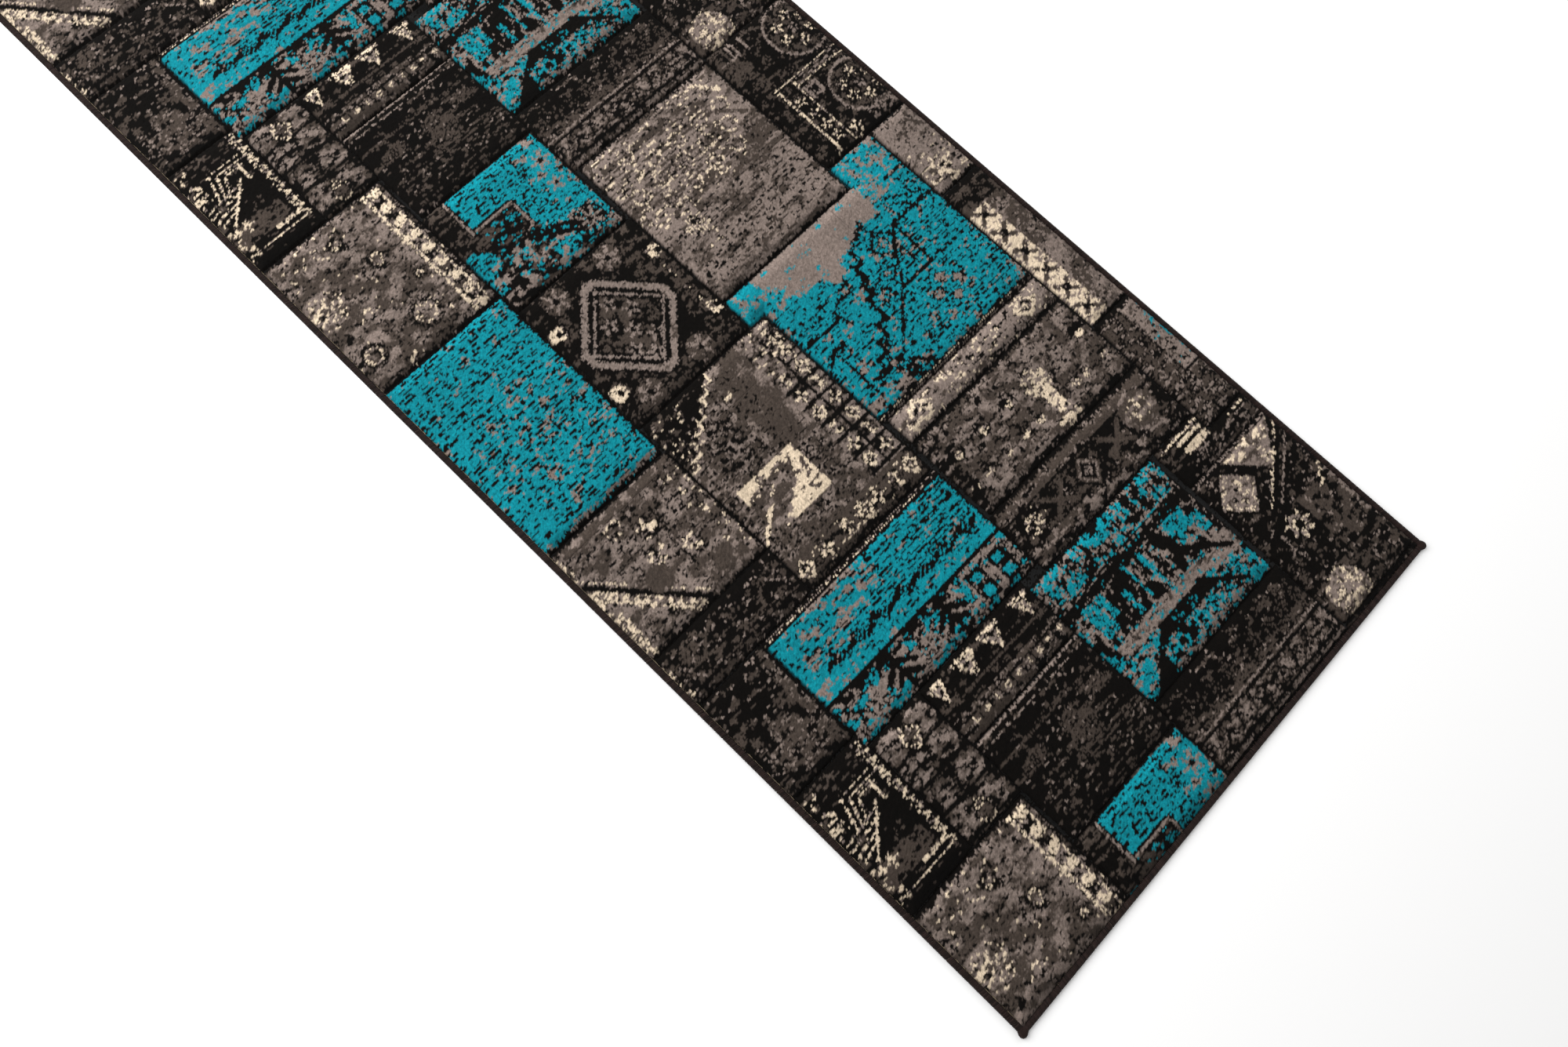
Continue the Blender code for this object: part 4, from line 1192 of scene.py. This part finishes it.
def add_sheet(columns, rows):
    """A flat grid of the given number of cells, with each point's column and row."""
    deselect()
    bpy.ops.mesh.primitive_grid_add(
        x_subdivisions=columns, y_subdivisions=rows, size=1, location=(0, 0, 0)
    )
    mesh = bpy.context.object.data
    points = read_points(mesh) + np.float32(0.5)
    i = np.rint(points[:, 0] * columns).astype(int)
    j = np.rint(points[:, 1] * rows).astype(int)
    return mesh, i, j


def close_below(drop):
    """Draws the open rim of the active sheet out by drop, and closes it with one face."""
    open_mesh()
    bpy.ops.mesh.region_to_loop()
    bpy.ops.mesh.extrude_edges_move(TRANSFORM_OT_translate={"value": (0, 0, drop)})
    bpy.ops.mesh.edge_face_add()
    bpy.ops.object.mode_set(mode="OBJECT")


def paint_mesh(mesh, name, domain, colours, rest=0.012):
    """Stores a colour for each of the first faces or points, and a plain one for the others."""
    layer = mesh.attributes.new(name, "FLOAT_COLOR", domain)
    values = np.ones((len(layer.data), 4), np.float32)
    values[:, :3] = rest
    if len(colours):
        values[: len(colours), :3] = colours
    layer.data.foreach_set("color", values.ravel())


def yarn_palette(colours):
    """The yarns' colours in the order of their numbers."""
    mist = 0.5 * np.array(colours.taupe) + 0.5 * np.array(colours.mauve)
    return np.array([colours.black, colours.taupe, mist, colours.mauve, colours.teal, colours.cream])


# ---------------------------------------------------------------- settings


def length_property(name, description, value):
    """A length in metres."""
    return bpy.props.FloatProperty(name=name, description=description, default=value, unit="LENGTH")


class RugSizes(bpy.types.PropertyGroup):
    """Sizes of the cloth that the frame leaves open."""

    tuft_unevenness: length_property("Tuft unevenness", "How much the tufts differ in height", 0.00028)
    shoulder_drop: length_property("Shoulder drop", "How far the pile rounds down beside a furrow", 0.0024)
    shoulder_width: length_property("Shoulder width", "How wide that rounding is", 0.022)
    furrow_depth: length_property("Furrow depth", "Depth of the furrows between patches", 0.0042)
    furrow_width: length_property("Furrow width", "Width of the furrows between patches", 0.0032)
    wrap_pitch: length_property("Wrap pitch", "Spacing of the yarn turns round the edge", 0.0020)
    wrap_slant: bpy.props.FloatProperty(
        name="Wrap slant",
        description="How far each turn leans along the edge",
        default=math.radians(14),
        subtype="ANGLE",
    )


def colour_property(name, description, value):
    """A colour in linear values."""
    return bpy.props.FloatVectorProperty(
        name=name, description=description, default=value, size=3, min=0, max=1, subtype="COLOR"
    )


class RugColours(bpy.types.PropertyGroup):
    """Colours of the yarns and the latex."""

    black: colour_property("Black", "Darkest pile yarn", (0.0022, 0.0016, 0.0012))
    taupe: colour_property("Taupe", "Dark brown-grey pile yarn", (0.0500, 0.0380, 0.0310))
    mauve: colour_property("Mauve", "Light mauve-grey pile yarn", (0.187, 0.146, 0.126))
    teal: colour_property("Teal", "Turquoise pile yarn", (0.0030, 0.198, 0.246))
    cream: colour_property("Cream", "Lightest pile yarn", (0.600, 0.485, 0.355))
    serging: colour_property("Serging", "Edge yarn", (0.0190, 0.0110, 0.0095))
    weave: colour_property("Weave", "Ground weave", (0.420, 0.330, 0.220))
    sizing: colour_property("Sizing", "Latex on the back", (0.310, 0.250, 0.180))


class RugStage(bpy.types.PropertyGroup):
    """Floor, light and camera."""

    floor: colour_property("Floor", "Plain pale floor", (0.97, 0.97, 0.97))
    key_power: bpy.props.FloatProperty(
        name="Key light", description="Power of the main softbox", default=100.0, unit="POWER"
    )
    fill_power: bpy.props.FloatProperty(
        name="Fill light", description="Power of the fill softbox", default=30.0, unit="POWER"
    )
    sky: bpy.props.FloatProperty(name="Sky", description="Strength of the even light", default=0.43)
    lens: bpy.props.FloatProperty(name="Lens", description="Focal length in millimetres", default=26.72)


# ---------------------------------------------------------------- pieces


class RUG_OT_pile(bpy.types.Operator):
    """Makes the cut pile, with a yarn for each tuft, in blocks that meet side by side"""

    bl_idname = "rug.pile"
    bl_label = "Pile"

    def execute(self, context):
        sizes, colours = context.scene.rug_sizes, context.scene.rug_colours
        tuft_x, tuft_y = WIDTH / TUFTS_ACROSS, REPEAT_CM / CM_PER_METRE / ROWS_PER_REPEAT
        first_x = round((PILE_LOW.x + WIDTH / 2) / tuft_x)
        first_y = round((PILE_LOW.y + LENGTH / 2) / tuft_y)
        columns = round((PILE_HIGH.x - PILE_LOW.x) / tuft_x)
        rows = round((PILE_HIGH.y - PILE_LOW.y) / tuft_y)
        x = np.linspace(PILE_LOW.x, PILE_HIGH.x, columns + 1)
        y = np.linspace(PILE_LOW.y, PILE_HIGH.y, rows + 1)
        points, slope, furrow = self.surface(x, y, sizes)
        yarns = yarn_chart()[np.ix_(
            (first_y + np.arange(rows + 1)) % ROWS_PER_REPEAT,
            np.clip(first_x + np.arange(columns + 1), 0, TUFTS_ACROSS - 1),
        )]
        painted = self.colour(yarns, slope, furrow, colours)
        finish = yarn_material("cut_pile")
        column_cuts = np.linspace(0, columns, PILE_BLOCKS + 1).astype(int)
        row_cuts = np.linspace(0, rows, PILE_BLOCKS + 1).astype(int)
        for across, (low_i, high_i) in enumerate(zip(column_cuts, column_cuts[1:])):
            for along, (low_j, high_j) in enumerate(zip(row_cuts, row_cuts[1:])):
                mesh, i, j = add_sheet(high_i - low_i, high_j - low_j)
                write_points(mesh, points[low_j + j, low_i + i])
                close_below(PILE_LOW.z - PILE_HIGH.z)
                # The points just drawn out all come to the pile's flat underside.
                flat = read_points(mesh)
                flat[len(i):, 2] = PILE_LOW.z
                flat[len(i):, 0] = np.clip(flat[len(i):, 0], PILE_LOW.x, PILE_HIGH.x)
                flat[len(i):, 1] = np.clip(flat[len(i):, 1], PILE_LOW.y, PILE_HIGH.y)
                write_points(mesh, flat)
                paint_mesh(mesh, "yarn", "POINT", painted[low_j + j, low_i + i])
                bpy.ops.object.shade_smooth()
                name_piece(f"pile_{across + 1}_{along + 1}", finish, "pile")
        return {"FINISHED"}

    def surface(self, x, y, sizes):
        """Every tuft's top, with the slope and the furrow's share there.

        The pile is level on a patch, rounds down at its sides and is cut at the furrows.
        """
        random = np.random.default_rng(LIE_SEED)
        depth, edge = patch_depth(x, y)
        shoulder = 1 - smooth(np.minimum(depth, edge) / sizes.shoulder_width)
        furrow = 1 - smooth((depth - 0.2 * sizes.furrow_width) / (0.55 * sizes.furrow_width))
        furrow *= edge > FURROW_STOP
        drop = sizes.shoulder_drop * shoulder**2 + RIM_FALL * (1 - smooth(edge / RIM_WIDTH))
        slope = np.gradient(-drop, y, axis=0)
        height = PILE_HIGH.z - PILE_MARGIN - drop - sizes.furrow_depth * furrow
        height += sizes.tuft_unevenness * random.normal(size=depth.shape).clip(-2, 2)
        height += WAVE_HEIGHT * self.swell(random, x, y, WAVE_SPACING)
        wide, long = np.meshgrid(x, y)
        wide = wide + TUFT_SCATTER * random.normal(size=depth.shape).clip(-1.6, 1.6)
        long = long + TUFT_SCATTER * random.normal(size=depth.shape).clip(-1.6, 1.6)
        lean = RIM_LEAN * (1 - smooth(edge / LEAN_WIDTH))
        beyond = np.abs(x)[None, :] - PILE_HIGH.x > np.abs(y)[:, None] - PILE_HIGH.y
        wide = wide + lean * np.where(beyond, np.sign(x)[None, :], 0)
        long = long + lean * np.where(beyond, 0, np.sign(y)[:, None])
        return np.stack([wide, long, height], axis=-1).astype(np.float32), slope, furrow

    def swell(self, random, x, y, spacing):
        """Slow random waves, about -2 to 2, with the given spacing."""
        u, v = (x - x[0]) / spacing, (y - y[0]) / spacing
        return join_knots(random.normal(size=(int(v[-1]) + 2, int(u[-1]) + 2)).clip(-2, 2), u, v)

    def colour(self, yarns, slope, furrow, colours):
        """Each tuft's colour: uneven from tuft to tuft, with painted light and shade by how the pile
        slopes.
        """
        random = np.random.default_rng(DYE_SEED)
        x = np.arange(yarns.shape[1]) * (TUFT_ACROSS_CM / CM_PER_METRE)
        y = np.arange(yarns.shape[0]) * (TUFT_ALONG_CM / CM_PER_METRE)
        shade = 1 + TUFT_SHADE * random.normal(size=yarns.shape).clip(-2, 2)
        shade *= 1 + CLOUD_SHADE * self.swell(random, x, y, CLOUD_SPACING)
        # Painted light and shade: lighter where the pile faces the far end and the key light, darker where
        # it faces the near end.
        shade *= 1 - (PAINTED_SLOPE_SHADE * slope).clip(PAINTED_SLOPE_LIGHTEST, PAINTED_SLOPE_DARKEST)
        painted = yarn_palette(colours)[yarns] * shade[..., None]
        bed = np.array(colours.black) * (0.9 + 0.5 * random.random(yarns.shape))[..., None]
        return painted * (1 - furrow[..., None]) + bed * furrow[..., None]


class RUG_OT_ground_weave(bpy.types.Operator):
    """Makes the ground weave, the cloth that the tufts stand in"""

    bl_idname = "rug.ground_weave"
    bl_label = "Ground weave"

    def execute(self, context):
        low, high = WEAVE_LOW, WEAVE_HIGH
        columns, rows = round((high.x - low.x) / CLOTH_CELL), round((high.y - low.y) / CLOTH_CELL)
        mesh, i, j = add_sheet(columns, rows)
        x = low.x + (high.x - low.x) * i / columns
        y = low.y + (high.y - low.y) * j / rows
        z = np.full(len(i), (low.z + high.z) / 2)
        write_points(mesh, np.stack([x, y, z], axis=-1))
        cloth = bpy.context.object
        wall = cloth.modifiers.new("Thickness", "SOLIDIFY")
        wall.thickness = high.z - low.z - CLOTH_CLEARANCE
        wall.offset = 0.0
        bpy.ops.object.modifier_apply(modifier=wall.name)
        colours = context.scene.rug_colours
        finish = yarn_material("jute_weave", colours.weave)
        name_piece("ground_cloth", finish, "ground_weave")
        return {"FINISHED"}


class RUG_OT_back_sizing(bpy.types.Operator):
    """Makes the latex-sized back, where the ribs of the weave and a ghost of the pattern show"""

    bl_idname = "rug.back_sizing"
    bl_label = "Sized back"

    def execute(self, context):
        low, high = BACK_LOW, BACK_HIGH
        columns, rows = round((high.x - low.x) / BACK_CELL), round((high.y - low.y) / BACK_CELL)
        mesh, i, j = add_sheet(columns, rows)
        x = low.x + (high.x - low.x) * i / columns
        y = low.y + (high.y - low.y) * j / rows
        rib = RIB_HEIGHT * ((i + j) % 2) * ((i > 0) & (i < columns) & (j > 0) & (j < rows))
        write_points(mesh, np.stack([x, y, low.z + rib], axis=-1))
        centres = np.empty(len(mesh.polygons) * 3, np.float32)
        mesh.polygons.foreach_get("center", centres)
        centres = centres.reshape(-1, 3)
        column = ((centres[:, 0] + WIDTH / 2) / WIDTH * TUFTS_ACROSS).astype(int)
        row = ((centres[:, 1] + LENGTH / 2) * CM_PER_METRE / TUFT_ALONG_CM).astype(int) % ROWS_PER_REPEAT
        colours = context.scene.rug_colours
        ghost = yarn_palette(colours)[yarn_chart()[row, column]]
        close_below(high.z - low.z)
        flat = read_points(mesh)
        flat[len(i):, 2] = high.z
        write_points(mesh, flat)
        stained = (1 - GHOST) * np.array(colours.sizing) + GHOST * ghost
        paint_mesh(mesh, "back", "FACE", stained.astype(np.float32))
        face_outwards()
        finish = yarn_material("latex_coat")
        name_piece("latex_back", finish, "back_sizing")
        return {"FINISHED"}


def add_wrap(across, up, width, slant, middle):
    """One turn of edge yarn: an oval ring round the Y axis, leaning along it, at the given middle."""
    deselect()
    yarn = EDGE_YARN / across
    bpy.ops.mesh.primitive_torus_add(
        align="WORLD", location=(0, 0, 0), rotation=(math.pi / 2, 0, 0), major_segments=12,
        minor_segments=4, major_radius=1 - yarn, minor_radius=yarn,
    )
    bpy.ops.object.transform_apply(location=True, rotation=True, scale=True)
    open_mesh()
    bpy.ops.transform.resize(value=(across, width / 2 / yarn, up), center_override=(0, 0, 0))
    bpy.ops.transform.rotate(value=slant, orient_axis="Z", center_override=(0, 0, 0))
    bpy.ops.transform.translate(value=middle)
    bpy.ops.object.mode_set(mode="OBJECT")
    return bpy.context.object


def vary_wraps(mesh, count, random, along):
    """Moves and shrinks each turn a little, and returns a shade for each of their faces."""
    points = read_points(mesh).reshape(count, -1, 3)
    points[:, :, along] += (TURN_SCATTER * random.normal(size=(count, 1))).clip(-TURN_STRAY, TURN_STRAY)
    middle = points.mean(axis=1, keepdims=True)
    points = middle + (points - middle) * (1 - TURN_SHRINK * random.random((count, 1, 1)))
    points[:, :, 2] += np.maximum(0, -points[:, :, 2].min(axis=1))[:, None]
    write_points(mesh, points.reshape(-1, 3))
    faces = len(mesh.polygons) // count
    return np.repeat(1 + TURN_SHADE * random.normal(size=count).clip(-1.5, 1.5), faces)


class RUG_OT_serging(bpy.types.Operator):
    """Wraps the edge yarn round the filler cords, turn beside turn"""

    bl_idname = "rug.serging"
    bl_label = "Serging"

    def execute(self, context):
        for name in ("left", "right"):
            low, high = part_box(f"side_serging_{name}")
            self.run(context, f"side_serging_{name}", low, high, 1, SIDE_PARTS)
        for name in ("near", "far"):
            low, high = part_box(f"end_serging_{name}")
            self.run(context, f"end_serging_{name}", low, high, 0, END_PARTS)
        return {"FINISHED"}

    def run(self, context, node, low, high, along, parts):
        """One run of serging between two corners, along X (0) or Y (1), in the given parts."""
        sizes, colours = context.scene.rug_sizes, context.scene.rug_colours
        finish = yarn_material("edge_yarn")
        random = np.random.default_rng(len(node) + along)
        middle, half = (low + high) / 2, (high - low) / 2
        total = high[along] - low[along]
        count = round(total / parts / sizes.wrap_pitch)
        pitch = total / parts / count
        for part in range(parts):
            start = low[along] + total * part / parts + pitch / 2
            width = TURN_OVERLAP * pitch
            wrap = add_wrap(half[1 - along], half.z, width, sizes.wrap_slant, (0, 0, middle.z))
            spread = wrap.modifiers.new("Turns", "ARRAY")
            spread.use_relative_offset = False
            spread.use_constant_offset = True
            spread.constant_offset_displace = (0, pitch, 0)
            spread.count = count
            bpy.ops.object.modifier_apply(modifier=spread.name)
            if along == 0:
                open_mesh()
                bpy.ops.transform.rotate(value=-math.pi / 2, orient_axis="Z", center_override=(0, 0, 0))
                bpy.ops.object.mode_set(mode="OBJECT")
            points = read_points(wrap.data)
            # A quarter turn can go either way, so the run is brought to the right side.
            if along == 0 and points[:, 0].mean() < 0:
                points[:, :2] *= -1
            points[:, along] += start
            points[:, 1 - along] += middle[1 - along]
            write_points(wrap.data, points)
            shade = vary_wraps(wrap.data, count, random, along)
            paint_mesh(wrap.data, "yarn", "FACE", np.array(colours.serging)[None, :] * shade[:, None])
            bpy.ops.object.shade_smooth()
            name = node if parts == 1 else f"{node}_{part + 1}"
            name_piece(f"{name}_yarn", finish, node)


class RUG_OT_corner_locks(bpy.types.Operator):
    """Fans the last turns of yarn round each corner, over a rounded core"""

    bl_idname = "rug.corner_locks"
    bl_label = "Corner locks"

    def execute(self, context):
        colours = context.scene.rug_colours
        finish = yarn_material("edge_yarn")
        for node in ("near_left", "near_right", "far_left", "far_right"):
            low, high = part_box(f"corner_lock_{node}")
            sx, sy = (1 if node.endswith("right") else -1), (1 if node.startswith("far") else -1)
            pivot_x = low.x if sx > 0 else high.x
            pivot_y = low.y if sy > 0 else high.y
            reach, height = SIDE_HIGH.x - SIDE_LOW.x, high.z - low.z
            rings = []
            for k in range(LOCK_TURNS):
                angle = math.pi / 2 * (k + 0.5) / LOCK_TURNS
                far = reach * (1 + LOCK_BULGE * math.sin(2 * angle) ** 1.5)
                ring = add_wrap(far / 2, height / 2, LOCK_TURN_WIDTH, 0.0, (far / 2, 0, height / 2))
                points = read_points(ring.data)
                turned = np.stack([
                    pivot_x + sx * (points[:, 0] * math.cos(angle) - points[:, 1] * math.sin(angle)),
                    pivot_y + sy * (points[:, 0] * math.sin(angle) + points[:, 1] * math.cos(angle)),
                    points[:, 2],
                ], axis=-1)
                write_points(ring.data, turned)
                rings.append(ring)
            deselect()
            bpy.ops.mesh.primitive_cube_add(size=1, location=(0, 0, 0))
            core = bpy.context.object
            side = reach * CORE_SHARE
            points = read_points(core.data) * np.array([side, side, height - CORE_MARGIN])
            points += np.array([pivot_x + sx * side / 2, pivot_y + sy * side / 2, height / 2])
            write_points(core.data, points)
            edges = core.modifiers.new("Rounding", "BEVEL")
            edges.width = CORE_ROUNDING
            edges.segments = 3
            bpy.ops.object.modifier_apply(modifier=edges.name)
            for ring in rings:
                ring.select_set(True)
            core.select_set(True)
            bpy.context.view_layer.objects.active = core
            bpy.ops.object.join()
            face_outwards()
            mesh = bpy.context.object.data
            paint_mesh(mesh, "yarn", "FACE", [], rest=colours.serging)
            bpy.ops.object.shade_smooth()
            name_piece(f"corner_lock_{node}_yarn", finish, f"corner_lock_{node}")
        return {"FINISHED"}


class RUG_OT_filler_cords(bpy.types.Operator):
    """Gives the filler cords inside the serging their twisted cotton finish"""

    bl_idname = "rug.filler_cords"
    bl_label = "Filler cords"

    def execute(self, context):
        finish = yarn_material("cotton_cord", CORD_COLOUR)
        for name in ("left", "right", "near", "far"):
            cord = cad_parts[f"filler_cord_{name}"]
            cord.data.materials.clear()
            cord.data.materials.append(finish)
        return {"FINISHED"}


class RUG_OT_stage(bpy.types.Operator):
    """Sets the pale floor, the soft lights and the camera"""

    bl_idname = "rug.stage"
    bl_label = "Stage"

    def execute(self, context):
        stage = context.scene.rug_stage
        deselect()
        bpy.ops.mesh.primitive_plane_add(size=FLOOR_SIZE, location=(0, 0, -FLOOR_GAP))
        floor = bpy.context.object
        floor.name = "floor"
        paint = bpy.data.materials.new("floor_paint")
        paint.use_nodes = True
        shader = paint.node_tree.nodes["Principled BSDF"]
        shader.inputs["Base Color"].default_value = (*stage.floor, 1)
        shader.inputs["Roughness"].default_value = 0.9
        floor.data.materials.append(paint)
        self.softbox("key_light", KEY_PLACE, KEY_AIM, stage.key_power)
        self.softbox("fill_light", FILL_PLACE, FILL_AIM, stage.fill_power)
        world = bpy.data.worlds.new("studio")
        world.use_nodes = True
        backdrop = world.node_tree.nodes["Background"]
        backdrop.inputs["Color"].default_value = SKY_COLOUR
        backdrop.inputs["Strength"].default_value = stage.sky
        context.scene.world = world
        context.scene.view_settings.view_transform = "Standard"
        turn = [math.radians(angle) for angle in CAMERA_TURN]
        bpy.ops.object.camera_add(location=CAMERA_PLACE, rotation=turn)
        camera = bpy.context.object
        camera.name = "camera"
        camera.data.lens = stage.lens
        camera.data.sensor_width = SENSOR_WIDTH
        camera.data.clip_start = NEAR_CLIP
        context.scene.camera = camera
        return {"FINISHED"}

    def softbox(self, name, place, aim, power):
        """A square soft light at a place, turned to an aim."""
        bpy.ops.object.light_add(type="AREA", location=place)
        lamp = bpy.context.object
        lamp.name = name
        lamp.data.size = SOFTBOX_SIZE
        lamp.data.energy = power
        lamp.rotation_euler = (Vector(aim) - Vector(place)).to_track_quat("-Z", "Y").to_euler()


OPERATORS = (
    RUG_OT_stage,
    RUG_OT_back_sizing,
    RUG_OT_ground_weave,
    RUG_OT_pile,
    RUG_OT_filler_cords,
    RUG_OT_serging,
    RUG_OT_corner_locks,
)


class RUG_PT_panel(bpy.types.Panel):
    """Lists the settings and the pieces of the rug"""

    bl_idname = "RUG_PT_panel"
    bl_label = "Runner Rug"
    bl_space_type = "VIEW_3D"
    bl_region_type = "UI"
    bl_category = "Rug"

    def draw(self, context):
        for group in (context.scene.rug_sizes, context.scene.rug_colours, context.scene.rug_stage):
            box = self.layout.box()
            for name in group.__annotations__:
                box.prop(group, name)
        for operator in OPERATORS:
            self.layout.operator(operator.bl_idname)


CLASSES = (RugSizes, RugColours, RugStage, *OPERATORS, RUG_PT_panel)


def register():
    for item in CLASSES:
        bpy.utils.register_class(item)
    bpy.types.Scene.rug_sizes = bpy.props.PointerProperty(type=RugSizes)
    bpy.types.Scene.rug_colours = bpy.props.PointerProperty(type=RugColours)
    bpy.types.Scene.rug_stage = bpy.props.PointerProperty(type=RugStage)


def unregister():
    del bpy.types.Scene.rug_stage
    del bpy.types.Scene.rug_colours
    del bpy.types.Scene.rug_sizes
    for item in reversed(CLASSES):
        bpy.utils.unregister_class(item)


def main():
    """Builds the whole rug on its stage."""
    register()
    bpy.ops.rug.stage()
    bpy.ops.rug.back_sizing()
    bpy.ops.rug.ground_weave()
    bpy.ops.rug.pile()
    bpy.ops.rug.filler_cords()
    bpy.ops.rug.serging()
    bpy.ops.rug.corner_locks()


if __name__ == "__main__":
    main()
